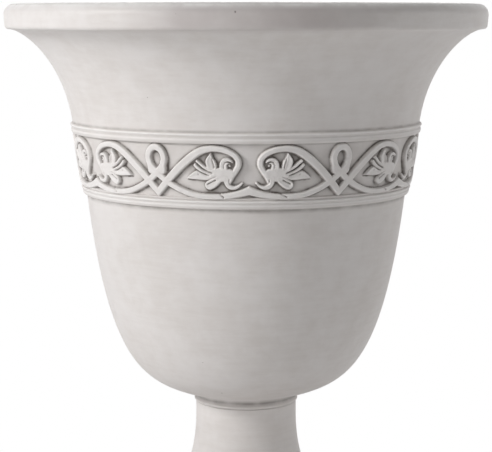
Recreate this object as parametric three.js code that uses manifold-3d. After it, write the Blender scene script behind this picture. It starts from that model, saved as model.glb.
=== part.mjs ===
// Bell-shaped urn planter on a square-plinth pedestal, cast in fibre-reinforced stone composite.
//
// Two hollow castings, the bowl and the pedestal, are clamped together by one centre bolt with a
// gasket between them. The bowl has four drain holes, each closed by a rubber plug that pulls out,
// and the water runs on through ports in the pedestal's deck and out under its plinth.
//
// Lengths are in millimetres and +Z is up. The origin is on the ground, on the urn's axis.

import * as THREE from 'three';
import { mergeVertices } from 'three/addons/utils/BufferGeometryUtils.js';
import Module from 'manifold-3d';

const wasm = await Module();
wasm.setup();

// ---------------------------------------------------------------- driving dimensions

// Overall
const BOWL_HEIGHT = 460;
const PEDESTAL_HEIGHT = 185.6;
const CASTING_WALL = 9;

// Lip: the thick band round the mouth
const LIP_RADIUS = 273;
const LIP_HEIGHT = 28;
const LIP_WIDTH = 27;
const LIP_TOP_ROUND = 12;
const LIP_BOTTOM_ROUND = 4.6;
const LIP_INNER_ROUND = 5;
const LIP_DRAFT = 0.8;

// Flare: the concave sweep from the throat out to the lip
const THROAT_RADIUS = 198;
const FLARE_HEIGHT = 104;
const FLARE_TOP_REACH = 16;
const FLARE_BOTTOM_REACH = { out: 9.9, up: 69.5 };

// Frieze band with the ornament, between an upper bead and a lower pair of beads
const FRIEZE_TOP_RADIUS = 194.2;
const FRIEZE_BOTTOM_RADIUS = 185.4;
const FRIEZE_HEIGHT = 57;
const UPPER_BEAD_HEIGHT = 11;
const UPPER_BEAD_RADIUS = 200;
const LOWER_BEAD_HEIGHT = 7;
const LOWER_BEAD_RADIUS = 188.4;
const LOWEST_BEAD_HEIGHT = 6;
const LOWEST_BEAD_RADIUS = 186.6;
const BEAD_GROOVE_RADIUS = 184.6;

// Belly: the bell below the beads, down to the foot
const SHOULDER_RADIUS = 182.6;
const BELLY_TOP_REACH = { inward: 30.6, down: 226.6 };
const BELLY_BASE_REACH = { out: 50.8, up: 30.2 };
const FOOT_COLLAR_RADIUS = 62.6;
const FOOT_COLLAR_HEIGHT = 1.6;
const FOOT_RADIUS = 59.3;
const FOOT_HEIGHT = 8.6;
const FLOOR_THICKNESS = 16;

// Pedestal
const NECK_RADIUS = 58.4;
const NECK_HEIGHT = 12.6;
const DECK_THICKNESS = 14;
const TRUMPET_SPREAD = 40;
const FILLET_PROUD = 7;
const FILLET_HEIGHT = 6;
const TORUS_RADIUS = 128;
const TORUS_HEIGHT = 28;
const PLINTH_SIDE = 290;
const PLINTH_HEIGHT = 45;
const PLINTH_CHAMFER = 3;
const PLINTH_CORNER_RADIUS = 5;
const PLINTH_WALL = 13;
const PLINTH_TOP_THICKNESS = 12;

// Rubber pads under the plinth's corners
const PAD_RADIUS = 10;
const PAD_THICKNESS = 3;
const PAD_INSET = 17;
const PAD_SEAT_MARGIN = 2;

// Ring gasket between the castings, set back so that the joint shows as a fine dark line
const GASKET_THICKNESS = 1.4;
const GASKET_SETBACK = 2.5;
const GASKET_PORT_CLEARANCE = 4;

// Centre bolt and what it clamps
const BOLT_RADIUS = 5;
const BOLT_HOLE_CLEARANCE = 1;
const BOLT_HEAD_ACROSS_FLATS = 17;
const BOLT_HEAD_HEIGHT = 6.4;
const BOLT_END_BEYOND_NUT = 8;
const BOLT_END_CHAMFER = 1;
const WASHER_FIT = 0.3;
const SEAL_RADIUS = 20;
const SEAL_THICKNESS = 2.5;
const WASHER_RADIUS = 19;
const WASHER_THICKNESS = 2;
const LOCK_WASHER_RADIUS = 9;
const LOCK_WASHER_THICKNESS = 2.5;
const LOCK_WASHER_GAP_DEG = 14;
const NUT_HEIGHT = 9;
const NUT_FACE_RADIUS = 9;
const NUT_END_RADIUS = 7.4;
const WING_SPAN = 46;
const WING_REACH = 10;
const WING_THICKNESS = 3.2;
const WING_WIDTH = 8;
const WING_SETBACK = 1;

// Drain holes and their plugs
const DRAIN_COUNT = 4;
const DRAIN_CIRCLE_RADIUS = 33;
const DRAIN_HOLE_RADIUS = 7;
const PLUG_FIT = 0.3;
const PLUG_FLANGE_RADIUS = 11;
const PLUG_FLANGE_THICKNESS = 3;
const PLUG_TIP_SHORTFALL = 2;
const PLUG_TIP_TAPER = 1.2;
const PLUG_GRIP_RADIUS = 4;
const PLUG_GRIP_NECK_RADIUS = 2.8;
const PLUG_GRIP_HEIGHT = 7;

// Fineness of the curved surfaces
const CASTING_SEGMENTS = 48;
const SMALL_SEGMENTS = 16;
const FLARE_STEPS = 8;
const BELLY_STEPS = 10;
const TRUMPET_STEPS = 7;
const TORUS_STEPS = 6;
const LIP_ROUND_STEPS = 3;
const CORNER_STEPS = 4;
const SMALL_ROUND_STEPS = 4;

// How far a solid runs into another before the two are joined, or past it before it is cut
const OVERRUN = 2;
const WELD_DISTANCE = 1e-4;

// ---------------------------------------------------------------- heights that follow

const pedestalBase = PAD_THICKNESS;
const deckTop = pedestalBase + PEDESTAL_HEIGHT;
const bowlBase = deckTop + GASKET_THICKNESS;
const bowlFloor = bowlBase + FLOOR_THICKNESS;
const deckUnderside = deckTop - DECK_THICKNESS;
const boltSeat = bowlFloor + SEAL_THICKNESS + WASHER_THICKNESS;
const nutFace = deckUnderside - WASHER_THICKNESS - LOCK_WASHER_THICKNESS;

// ---------------------------------------------------------------- outlines

const point = (radius, height) => new THREE.Vector2(radius, height);
const radians = THREE.MathUtils.degToRad;

/** Points of an arc of an ellipse, from one angle to another in degrees, in the outline's plane. */
function arc(centreRadius, centreHeight, reachOut, reachUp, from, to, steps) {
  const clockwise = to < from;
  const curve = new THREE.EllipseCurve(
    centreRadius, centreHeight, reachOut, reachUp, radians(from), radians(to), clockwise,
  );
  return curve.getPoints(steps);
}

/** Points of a bead with a round crest, from its lower edge to its upper edge. */
function bead(crestRadius, bottom, height, lowerRadius, upperRadius) {
  const round = height / 5;
  return [
    point((lowerRadius + crestRadius * 2) / 3, bottom + round / 3),
    point(crestRadius, bottom + round),
    point(crestRadius, bottom + height - round),
    point((upperRadius + crestRadius * 2) / 3, bottom + height - round / 3),
  ];
}

/** The curve moved to its inner side by a distance; it is given from low to high. */
function offsetInward(points, distance) {
  return points.map((here, index) => {
    const before = points[Math.max(index - 1, 0)];
    const after = points[Math.min(index + 1, points.length - 1)];
    const along = after.clone().sub(before).normalize();
    return point(here.x - along.y * distance, here.y + along.x * distance);
  });
}

// ---------------------------------------------------------------- solids

/** A closed solid of the boolean library from a three.js geometry. */
function toSolid(geometry) {
  const bare = geometry.clone();
  bare.deleteAttribute('normal');
  bare.deleteAttribute('uv');
  const welded = mergeVertices(bare, WELD_DISTANCE);
  const corners = welded.index.array;
  const kept = [];
  for (let i = 0; i < corners.length; i += 3) {
    const [a, b, c] = [corners[i], corners[i + 1], corners[i + 2]];
    if (a !== b && b !== c && c !== a) kept.push(a, b, c);
  }
  return new wasm.Manifold(new wasm.Mesh({
    numProp: 3,
    vertProperties: new Float32Array(welded.attributes.position.array),
    triVerts: new Uint32Array(kept),
  }));
}

/** The three.js geometry of a solid, with flat-shaded faces. */
function toGeometry(solid) {
  const mesh = solid.getMesh();
  const geometry = new THREE.BufferGeometry();
  geometry.setAttribute('position', new THREE.BufferAttribute(mesh.vertProperties, 3));
  geometry.setIndex(new THREE.BufferAttribute(mesh.triVerts, 1));
  geometry.computeVertexNormals();
  return geometry;
}

/** A solid of revolution about Z from an outline that closes on the axis or on itself. */
function revolve(outline, segments) {
  const geometry = new THREE.LatheGeometry(outline, segments);
  geometry.rotateX(Math.PI / 2);
  return toSolid(geometry);
}

/** A disc about Z between two heights. */
function disc(radius, bottom, top, segments) {
  return revolve([point(0, bottom), point(radius, bottom), point(radius, top), point(0, top)], segments);
}

/** A flat ring about Z between two heights. */
function ring(innerRadius, outerRadius, bottom, top, segments) {
  return revolve([
    point(innerRadius, bottom),
    point(outerRadius, bottom),
    point(outerRadius, top),
    point(innerRadius, top),
    point(innerRadius, bottom),
  ], segments);
}

/** A square in plan with rounded corners, raised from bottom to top, its edges chamfered. */
function roundedBlock(side, cornerRadius, bottom, top, chamfer) {
  const straight = side / 2 - cornerRadius;
  const corners = [[1, 1], [-1, 1], [-1, -1], [1, -1]];
  const outline = corners.flatMap(([sideX, sideY], index) => arc(
    sideX * straight, sideY * straight, cornerRadius, cornerRadius,
    index * 90, index * 90 + 90, CORNER_STEPS,
  ));
  const geometry = new THREE.ExtrudeGeometry(new THREE.Shape(outline), {
    depth: top - bottom - 2 * chamfer,
    bevelEnabled: chamfer > 0,
    bevelThickness: chamfer,
    bevelSize: chamfer,
    bevelOffset: -chamfer,
    bevelSegments: 1,
  });
  geometry.translate(0, 0, bottom + chamfer);
  return toSolid(geometry);
}

/** The places of the drain holes in plan, half a step off the X axis. */
function drainPlaces() {
  return Array.from({ length: DRAIN_COUNT }, (_, index) => {
    const angle = (index + 0.5) * 2 * Math.PI / DRAIN_COUNT;
    return [DRAIN_CIRCLE_RADIUS * Math.cos(angle), DRAIN_CIRCLE_RADIUS * Math.sin(angle)];
  });
}

/** The solid with a centre hole and one hole for each drain cut through it. */
function cutHoles(solid, centreRadius, drainRadius, bottom, top) {
  const low = bottom - OVERRUN;
  const high = top + OVERRUN;
  let cut = solid.subtract(disc(centreRadius, low, high, SMALL_SEGMENTS));
  for (const [x, y] of drainPlaces()) {
    cut = cut.subtract(disc(drainRadius, low, high, SMALL_SEGMENTS).translate(x, y, 0));
  }
  return cut;
}

// ---------------------------------------------------------------- bowl

const lipBottom = BOWL_HEIGHT - LIP_HEIGHT;
const upperBeadTop = lipBottom - FLARE_HEIGHT;
const friezeTop = upperBeadTop - UPPER_BEAD_HEIGHT;
const friezeBottom = friezeTop - FRIEZE_HEIGHT;
const lowestBeadTop = friezeBottom - LOWER_BEAD_HEIGHT;
const shoulder = lowestBeadTop - LOWEST_BEAD_HEIGHT;
const lipLowerRadius = LIP_RADIUS - LIP_DRAFT;
const mouthRadius = LIP_RADIUS - LIP_WIDTH;

/** The bell's outer curve, from the foot collar up to the shoulder under the beads. */
function bellyCurve() {
  const base = point(FOOT_COLLAR_RADIUS, FOOT_HEIGHT);
  const top = point(SHOULDER_RADIUS, shoulder);
  const baseHandle = point(base.x + BELLY_BASE_REACH.out, base.y + BELLY_BASE_REACH.up);
  const topHandle = point(top.x - BELLY_TOP_REACH.inward, top.y - BELLY_TOP_REACH.down);
  return new THREE.CubicBezierCurve(base, baseHandle, topHandle, top).getPoints(BELLY_STEPS);
}

/** The flare's outer curve, from the upper bead to the underside of the lip. */
function flareCurve() {
  const base = point(THROAT_RADIUS, upperBeadTop);
  const top = point(lipLowerRadius - LIP_BOTTOM_ROUND, lipBottom);
  const baseHandle = point(base.x + FLARE_BOTTOM_REACH.out, base.y + FLARE_BOTTOM_REACH.up);
  const topHandle = point(top.x - FLARE_TOP_REACH, top.y);
  return new THREE.CubicBezierCurve(base, baseHandle, topHandle, top).getPoints(FLARE_STEPS);
}

/** The lip's section, from the end of the flare round to its inner edge. */
function lipOutline() {
  const lowerCentre = point(lipLowerRadius - LIP_BOTTOM_ROUND, lipBottom + LIP_BOTTOM_ROUND);
  const upperCentre = point(LIP_RADIUS - LIP_TOP_ROUND, BOWL_HEIGHT - LIP_TOP_ROUND);
  const innerCentre = point(mouthRadius + LIP_INNER_ROUND, BOWL_HEIGHT - LIP_INNER_ROUND);
  return [
    ...arc(lowerCentre.x, lowerCentre.y, LIP_BOTTOM_ROUND, LIP_BOTTOM_ROUND, -90, 0, LIP_ROUND_STEPS),
    ...arc(upperCentre.x, upperCentre.y, LIP_TOP_ROUND, LIP_TOP_ROUND, 0, 90, LIP_ROUND_STEPS),
    ...arc(innerCentre.x, innerCentre.y, LIP_INNER_ROUND, LIP_INNER_ROUND, 90, 180, LIP_ROUND_STEPS),
  ];
}

/** The bowl's outer face from the foot to the lip, with its beads and the frieze band between them. */
function bowlOuterOutline() {
  return [
    point(FOOT_RADIUS, 0),
    point(FOOT_COLLAR_RADIUS, FOOT_HEIGHT - FOOT_COLLAR_HEIGHT),
    ...bellyCurve(),
    ...bead(LOWEST_BEAD_RADIUS, shoulder, LOWEST_BEAD_HEIGHT, SHOULDER_RADIUS, BEAD_GROOVE_RADIUS),
    point(BEAD_GROOVE_RADIUS, lowestBeadTop),
    ...bead(LOWER_BEAD_RADIUS, lowestBeadTop, LOWER_BEAD_HEIGHT, BEAD_GROOVE_RADIUS, FRIEZE_BOTTOM_RADIUS),
    point(FRIEZE_BOTTOM_RADIUS, friezeBottom),
    point(FRIEZE_TOP_RADIUS, friezeTop),
    ...bead(UPPER_BEAD_RADIUS, friezeTop, UPPER_BEAD_HEIGHT, FRIEZE_TOP_RADIUS, THROAT_RADIUS),
    ...flareCurve(),
    ...lipOutline().slice(1),
  ];
}

/** The bowl's inner face, one wall inside the belly and the flare, from the mouth to the base. */
function bowlInnerOutline() {
  const flare = offsetInward(flareCurve(), CASTING_WALL);
  const belly = offsetInward(bellyCurve(), CASTING_WALL);
  const belowLip = flare.filter((place) => place.x < mouthRadius - 1);
  return [...belly, ...belowLip].reverse();
}

/** The bowl: a bell-shaped shell with a rolled lip, a solid floor and its holes. */
function bowl() {
  const outer = bowlOuterOutline();
  const shell = revolve([...outer, ...bowlInnerOutline(), outer[0]], CASTING_SEGMENTS);
  const floor = disc(FOOT_RADIUS, 0, FLOOR_THICKNESS, CASTING_SEGMENTS);
  const boltHoleRadius = BOLT_RADIUS + BOLT_HOLE_CLEARANCE;
  return cutHoles(shell.add(floor), boltHoleRadius, DRAIN_HOLE_RADIUS, 0, FLOOR_THICKNESS);
}

// ---------------------------------------------------------------- pedestal

const neckBottom = PEDESTAL_HEIGHT - NECK_HEIGHT;
const torusTop = PLINTH_HEIGHT + TORUS_HEIGHT;
const trumpetBottom = torusTop + FILLET_HEIGHT;
const plinthHalf = PLINTH_SIDE / 2;
const padPlace = plinthHalf - PAD_INSET;

/** The trumpet's outer curve, a quarter ellipse from the fillet up to the neck. */
function trumpetCurve() {
  const centreRadius = NECK_RADIUS + TRUMPET_SPREAD;
  const reachUp = neckBottom - trumpetBottom;
  return arc(centreRadius, neckBottom, TRUMPET_SPREAD, reachUp, 270, 180, TRUMPET_STEPS);
}

/** The stem above the plinth: torus, fillet, trumpet and neck. */
function stemOuter() {
  const torusRound = TORUS_HEIGHT / 2;
  const torusCentre = point(TORUS_RADIUS - torusRound, PLINTH_HEIGHT + torusRound);
  const filletRadius = NECK_RADIUS + TRUMPET_SPREAD + FILLET_PROUD;
  return revolve([
    point(0, PLINTH_HEIGHT - OVERRUN),
    point(torusCentre.x, PLINTH_HEIGHT - OVERRUN),
    ...arc(torusCentre.x, torusCentre.y, torusRound, torusRound, -90, 90, TORUS_STEPS),
    point(filletRadius, torusTop),
    point(filletRadius, trumpetBottom),
    ...trumpetCurve(),
    point(NECK_RADIUS, PEDESTAL_HEIGHT),
    point(0, PEDESTAL_HEIGHT),
  ], CASTING_SEGMENTS);
}

/** The hollow of the stem, open into the plinth's hollow below. */
function stemHollow() {
  const trumpet = offsetInward(trumpetCurve(), CASTING_WALL);
  const torusHollowRadius = TORUS_RADIUS - TORUS_HEIGHT / 2 - CASTING_WALL;
  const torusHollowTop = torusTop - CASTING_WALL;
  const plinthHollowTop = PLINTH_HEIGHT - PLINTH_TOP_THICKNESS;
  return revolve([
    point(0, plinthHollowTop - OVERRUN),
    point(torusHollowRadius, plinthHollowTop - OVERRUN),
    point(torusHollowRadius, torusHollowTop),
    point(trumpet[0].x, torusHollowTop),
    ...trumpet,
    point(0, trumpet[trumpet.length - 1].y),
  ], CASTING_SEGMENTS);
}

/** The hollow of the plinth, its corners filled in far enough to seat the pads. */
function plinthHollow() {
  const side = PLINTH_SIDE - 2 * PLINTH_WALL;
  const cornerGap = (side / 2 - padPlace) * Math.SQRT2 + PAD_RADIUS + PAD_SEAT_MARGIN;
  const cornerRadius = cornerGap / (Math.SQRT2 - 1);
  return roundedBlock(side, cornerRadius, -OVERRUN, PLINTH_HEIGHT - PLINTH_TOP_THICKNESS, 0);
}

/** The pedestal: a hollow stem and plinth, with a deck that carries the bowl. */
function pedestal() {
  const plinth = roundedBlock(PLINTH_SIDE, PLINTH_CORNER_RADIUS, 0, PLINTH_HEIGHT, PLINTH_CHAMFER);
  const shell = stemOuter().add(plinth).subtract(stemHollow()).subtract(plinthHollow());
  const deckBottom = PEDESTAL_HEIGHT - DECK_THICKNESS;
  const deck = disc(NECK_RADIUS - CASTING_WALL / 2, deckBottom, PEDESTAL_HEIGHT, CASTING_SEGMENTS);
  const boltHoleRadius = BOLT_RADIUS + BOLT_HOLE_CLEARANCE;
  return cutHoles(shell.add(deck), boltHoleRadius, DRAIN_HOLE_RADIUS, deckBottom, PEDESTAL_HEIGHT);
}

/** A rubber pad, slightly domed at its rim, for one corner of the plinth. */
function footPad() {
  const round = PAD_THICKNESS / 3;
  return revolve([
    point(0, 0),
    point(PAD_RADIUS - round, 0),
    point(PAD_RADIUS, round),
    point(PAD_RADIUS, PAD_THICKNESS),
    point(0, PAD_THICKNESS),
  ], SMALL_SEGMENTS);
}

// ---------------------------------------------------------------- gasket and drain plugs

/** The ring gasket between bowl and pedestal, outside all the drain holes. */
function jointGasket() {
  const boreRadius = DRAIN_CIRCLE_RADIUS + DRAIN_HOLE_RADIUS + GASKET_PORT_CLEARANCE;
  return ring(boreRadius, NECK_RADIUS - GASKET_SETBACK, 0, GASKET_THICKNESS, CASTING_SEGMENTS);
}

/** A drain plug: a tapered shank in the floor's hole, a flange on the floor and a grip to pull. */
function drainPlug() {
  const shankRadius = DRAIN_HOLE_RADIUS - PLUG_FIT;
  const depth = FLOOR_THICKNESS - PLUG_TIP_SHORTFALL;
  const gripTop = PLUG_FLANGE_THICKNESS + PLUG_GRIP_HEIGHT;
  const gripRound = PLUG_GRIP_RADIUS / 2;
  const edge = PLUG_FLANGE_THICKNESS / 3;
  return revolve([
    point(0, -depth),
    point(shankRadius - PLUG_TIP_TAPER, -depth),
    point(shankRadius, -depth / 2),
    point(shankRadius, 0),
    point(PLUG_FLANGE_RADIUS, 0),
    point(PLUG_FLANGE_RADIUS, PLUG_FLANGE_THICKNESS - edge),
    point(PLUG_FLANGE_RADIUS - edge, PLUG_FLANGE_THICKNESS),
    point(PLUG_GRIP_NECK_RADIUS, PLUG_FLANGE_THICKNESS),
    point(PLUG_GRIP_NECK_RADIUS, gripTop - PLUG_GRIP_RADIUS),
    ...arc(0, gripTop - gripRound, PLUG_GRIP_RADIUS, gripRound, -45, 90, SMALL_ROUND_STEPS),
  ], SMALL_SEGMENTS);
}

// ---------------------------------------------------------------- centre bolt and nut

/** The hexagon-head bolt, head up, its shank's end past the nut. */
function tieBolt() {
  const shankLength = boltSeat - nutFace + NUT_HEIGHT + BOLT_END_BEYOND_NUT;
  const cornerRadius = BOLT_HEAD_ACROSS_FLATS / Math.sqrt(3);
  const head = disc(cornerRadius, 0, BOLT_HEAD_HEIGHT, 6);
  const shank = revolve([
    point(0, -shankLength),
    point(BOLT_RADIUS - BOLT_END_CHAMFER, -shankLength),
    point(BOLT_RADIUS, BOLT_END_CHAMFER - shankLength),
    point(BOLT_RADIUS, OVERRUN),
    point(0, OVERRUN),
  ], SMALL_SEGMENTS);
  return head.add(shank);
}

/** A flat washer of the given size that fits on the bolt. */
function washer(radius, thickness) {
  return ring(BOLT_RADIUS + WASHER_FIT, radius, 0, thickness, SMALL_SEGMENTS);
}

/** The split spring washer, drawn flat as it is when the nut is tight. */
function lockWasher() {
  const halfGap = radians(LOCK_WASHER_GAP_DEG / 2);
  const outline = new THREE.Shape();
  outline.absarc(0, 0, LOCK_WASHER_RADIUS, halfGap, 2 * Math.PI - halfGap);
  outline.absarc(0, 0, BOLT_RADIUS + WASHER_FIT, 2 * Math.PI - halfGap, halfGap, true);
  const geometry = new THREE.ExtrudeGeometry(outline, {
    depth: LOCK_WASHER_THICKNESS, curveSegments: SMALL_SEGMENTS / 2, bevelEnabled: false,
  });
  return toSolid(geometry);
}

/** One wing of the nut in the XZ plane: it leaves the hub and sweeps out and down to a round tip. */
function nutWing() {
  const tip = WING_SPAN / 2 - WING_WIDTH / 2;
  const root = BOLT_RADIUS + WASHER_FIT + WING_SETBACK;
  const rootTop = -WING_SETBACK;
  const rootBottom = WING_SETBACK - NUT_HEIGHT;
  const outline = new THREE.Shape();
  outline.moveTo(root, rootTop);
  outline.lineTo(NUT_FACE_RADIUS, rootTop);
  outline.quadraticCurveTo(tip, rootTop, WING_SPAN / 2, -WING_REACH);
  outline.absarc(tip, -WING_REACH, WING_WIDTH / 2, 0, -Math.PI, true);
  outline.quadraticCurveTo(tip - WING_WIDTH / 2, rootBottom, root, rootBottom);
  const geometry = new THREE.ExtrudeGeometry(outline, {
    depth: WING_THICKNESS, curveSegments: SMALL_ROUND_STEPS, bevelEnabled: false,
  });
  geometry.translate(0, 0, -WING_THICKNESS / 2);
  geometry.rotateX(Math.PI / 2);
  return toSolid(geometry);
}

/** The wing nut, its bearing face up against the spring washer. */
function wingNut() {
  const bore = BOLT_RADIUS + WASHER_FIT;
  const hub = revolve([
    point(bore, -NUT_HEIGHT),
    point(NUT_END_RADIUS, -NUT_HEIGHT),
    point(NUT_FACE_RADIUS, 0),
    point(bore, 0),
    point(bore, -NUT_HEIGHT),
  ], SMALL_SEGMENTS);
  const wing = nutWing();
  return hub.add(wing).add(wing.rotate(0, 0, 180));
}

// ---------------------------------------------------------------- materials

const finish = (color, roughness, metalness) => (
  new THREE.MeshStandardMaterial({ color, roughness, metalness, flatShading: true })
);
const castStone = finish(0xcfcbc7, 0.8, 0);
const zincSteel = finish(0xb4b6ba, 0.35, 1);
const blackRubber = finish(0x242424, 0.85, 0);

// ---------------------------------------------------------------- assembly

/** A named sub-part at its place. */
function subPart(name, solid, material, x = 0, y = 0, z = 0) {
  const mesh = new THREE.Mesh(toGeometry(solid), material);
  mesh.name = name;
  mesh.position.set(x, y, z);
  return mesh;
}

/** The pedestal on its four pads. */
function pedestalAssembly() {
  const assembly = new THREE.Group();
  assembly.add(subPart('pedestal', pedestal(), castStone, 0, 0, pedestalBase));
  const corners = [[1, 1], [-1, 1], [-1, -1], [1, -1]];
  corners.forEach(([sideX, sideY], index) => {
    const name = `foot_pad_${index + 1}`;
    assembly.add(subPart(name, footPad(), blackRubber, sideX * padPlace, sideY * padPlace, 0));
  });
  return assembly;
}

/** The bowl on its gasket, with a plug in each drain hole. */
function bowlAssembly() {
  const assembly = new THREE.Group();
  assembly.add(subPart('joint_gasket', jointGasket(), blackRubber, 0, 0, deckTop));
  assembly.add(subPart('bowl', bowl(), castStone, 0, 0, bowlBase));
  drainPlaces().forEach(([x, y], index) => {
    assembly.add(subPart(`drain_plug_${index + 1}`, drainPlug(), blackRubber, x, y, bowlFloor));
  });
  return assembly;
}

/** The bolt from the bowl's floor to the nut under the deck, with its seal and washers. */
function clampAssembly() {
  const assembly = new THREE.Group();
  const seal = washer(SEAL_RADIUS, SEAL_THICKNESS);
  const plate = washer(WASHER_RADIUS, WASHER_THICKNESS);
  assembly.add(subPart('bolt_seal', seal, blackRubber, 0, 0, bowlFloor));
  assembly.add(subPart('bolt_washer', plate, zincSteel, 0, 0, bowlFloor + SEAL_THICKNESS));
  assembly.add(subPart('tie_bolt', tieBolt(), zincSteel, 0, 0, boltSeat));
  assembly.add(subPart('deck_washer', plate, zincSteel, 0, 0, deckUnderside - WASHER_THICKNESS));
  assembly.add(subPart('lock_washer', lockWasher(), zincSteel, 0, 0, nutFace));
  assembly.add(subPart('wing_nut', wingNut(), zincSteel, 0, 0, nutFace));
  return assembly;
}

const group = new THREE.Group();
group.add(pedestalAssembly(), bowlAssembly(), clampAssembly());

export default group;
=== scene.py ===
"""Dresses the urn planter: its two castings, the carved frieze, the fittings and the studio.

Lengths are in metres, apart from the frieze's carving, which is laid out in millimetres
on the band's own face. The origin is on the ground on the urn's axis, +Z is up and the
front faces -Y.
"""

import logging
import math
from dataclasses import dataclass, field
from enum import Enum
from typing import Iterable, Sequence

import bpy
import numpy as np
from mathutils import Matrix, Vector


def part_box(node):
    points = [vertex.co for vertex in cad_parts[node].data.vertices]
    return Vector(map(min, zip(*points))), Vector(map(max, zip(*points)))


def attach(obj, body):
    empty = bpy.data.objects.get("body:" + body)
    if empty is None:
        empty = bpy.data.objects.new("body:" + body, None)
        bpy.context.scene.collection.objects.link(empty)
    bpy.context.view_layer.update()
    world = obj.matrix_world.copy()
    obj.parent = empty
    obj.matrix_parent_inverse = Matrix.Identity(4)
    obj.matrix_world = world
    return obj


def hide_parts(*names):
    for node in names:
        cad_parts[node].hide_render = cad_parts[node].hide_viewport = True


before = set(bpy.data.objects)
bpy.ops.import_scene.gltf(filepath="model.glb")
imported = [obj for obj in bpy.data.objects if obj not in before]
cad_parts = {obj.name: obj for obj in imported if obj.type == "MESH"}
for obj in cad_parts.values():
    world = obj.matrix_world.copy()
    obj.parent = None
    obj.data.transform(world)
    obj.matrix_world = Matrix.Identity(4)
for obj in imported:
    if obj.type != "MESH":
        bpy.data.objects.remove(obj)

log = logging.getLogger("urn_planter")

MM = 0.001
WELD = 2e-6
ON_BORDER = 0.01
FRONT_AZIMUTH = math.radians(-90)

Piece = bpy.types.Object
Material = bpy.types.Material
NodeTree = bpy.types.NodeTree
Place = tuple[float, float]
Colour = tuple[float, float, float, float]


class Slot(Enum):
    """The material slots that the part's record names."""

    STONE = "cast_stone"
    ZINC = "zinc_steel"
    RUBBER = "rubber"


class Section(Enum):
    """The cross-section of a carved stroke."""

    STRAP = "a flat top between round edges, with a faint hollow along its middle"
    LEAF = "a raised rim round a hollowed blade"


# Outlines


def arc(centre: Place, reach: float, start: float, stop: float, steps: int) -> list[Place]:
    """Points of a circular arc in an outline's plane.

    Args:
        centre: Radius and height of the arc's centre.
        reach: The arc's own radius.
        start: First angle in degrees, 0 pointing outwards and 90 up.
        stop: Last angle in degrees.
        steps: Number of chords.

    Returns:
        The points from the first angle to the last.
    """
    angles = np.radians(np.linspace(start, stop, steps + 1))
    return [(centre[0] + reach * math.cos(a), centre[1] + reach * math.sin(a)) for a in angles]


def bezier(base: Place, base_handle: Place, top_handle: Place, top: Place, steps: int) -> list[Place]:
    """Points of a cubic Bezier curve.

    Args:
        base: First end.
        base_handle: Handle of the first end.
        top_handle: Handle of the last end.
        top: Last end.
        steps: Number of chords.

    Returns:
        The points from the first end to the last.
    """
    share = np.linspace(0, 1, steps + 1)[:, None]
    rest = 1 - share
    ends = [np.array(place) for place in (base, base_handle, top_handle, top)]
    curve = (
        rest**3 * ends[0]
        + 3 * rest**2 * share * ends[1]
        + 3 * rest * share**2 * ends[2]
        + share**3 * ends[3]
    )
    return [tuple(place) for place in curve]


def offset_inward(points: Sequence[Place], distance: float) -> list[Place]:
    """Moves an outline that is given from low to high towards its inner side.

    Args:
        points: The outline.
        distance: How far it moves.

    Returns:
        The moved points.
    """
    line = np.array(points)
    ahead = np.vstack([line[1:], line[-1:]])
    behind = np.vstack([line[:1], line[:-1]])
    along = ahead - behind
    along /= np.linalg.norm(along, axis=1)[:, None]
    moved = line + distance * np.column_stack([-along[:, 1], along[:, 0]])
    return [tuple(place) for place in moved]


# Bench work


def put_down_all() -> None:
    """Leaves nothing selected, in object mode."""
    if bpy.context.object is not None and bpy.context.object.mode != "OBJECT":
        bpy.ops.object.mode_set(mode="OBJECT")
    bpy.ops.object.select_all(action="DESELECT")


def take_up(piece: Piece) -> None:
    """Makes a piece the active object and the only selected one.

    Args:
        piece: The piece to work on.
    """
    put_down_all()
    piece.select_set(True)
    bpy.context.view_layer.objects.active = piece


def name_new(name: str) -> Piece:
    """Names the primitive that was added last.

    Args:
        name: The piece's name.

    Returns:
        The piece.
    """
    piece = bpy.context.object
    piece.name = name
    piece.data.name = name
    return piece


def settle(piece: Piece) -> None:
    """Puts a piece's place and turn into its mesh.

    Args:
        piece: The piece.
    """
    take_up(piece)
    bpy.ops.object.transform_apply(location=True, rotation=True, scale=True)


def close_up(piece: Piece) -> None:
    """Merges a mesh's doubled points and turns all its faces outwards.

    Args:
        piece: The piece.
    """
    take_up(piece)
    bpy.ops.object.mode_set(mode="EDIT")
    bpy.ops.mesh.select_all(action="SELECT")
    bpy.ops.mesh.remove_doubles(threshold=WELD)
    bpy.ops.mesh.normals_make_consistent(inside=False)
    bpy.ops.object.mode_set(mode="OBJECT")


def drawn(name: str, outline: Sequence[Place], across: float = 0) -> Piece:
    """Draws an outline as a chain of edges in a plane along X and Z.

    Args:
        name: The piece's name.
        outline: X, or radius, and height of the outline's points.
        across: Y of the plane.

    Returns:
        The chain, with every point selected in vertex mode.
    """
    put_down_all()
    bpy.ops.mesh.primitive_plane_add(size=MM, location=(0, 0, 0))
    piece = name_new(name)
    bpy.ops.object.mode_set(mode="EDIT")
    bpy.ops.mesh.select_mode(type="VERT")
    bpy.ops.mesh.select_all(action="SELECT")
    bpy.ops.mesh.merge(type="CENTER")
    bpy.ops.transform.translate(value=(outline[0][0], across, outline[0][1]))
    for here, there in zip(outline, outline[1:]):
        step = (there[0] - here[0], 0, there[1] - here[1])
        bpy.ops.mesh.extrude_vertices_move(TRANSFORM_OT_translate={"value": step})
    bpy.ops.mesh.select_all(action="SELECT")
    bpy.ops.object.mode_set(mode="OBJECT")
    return piece


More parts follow.
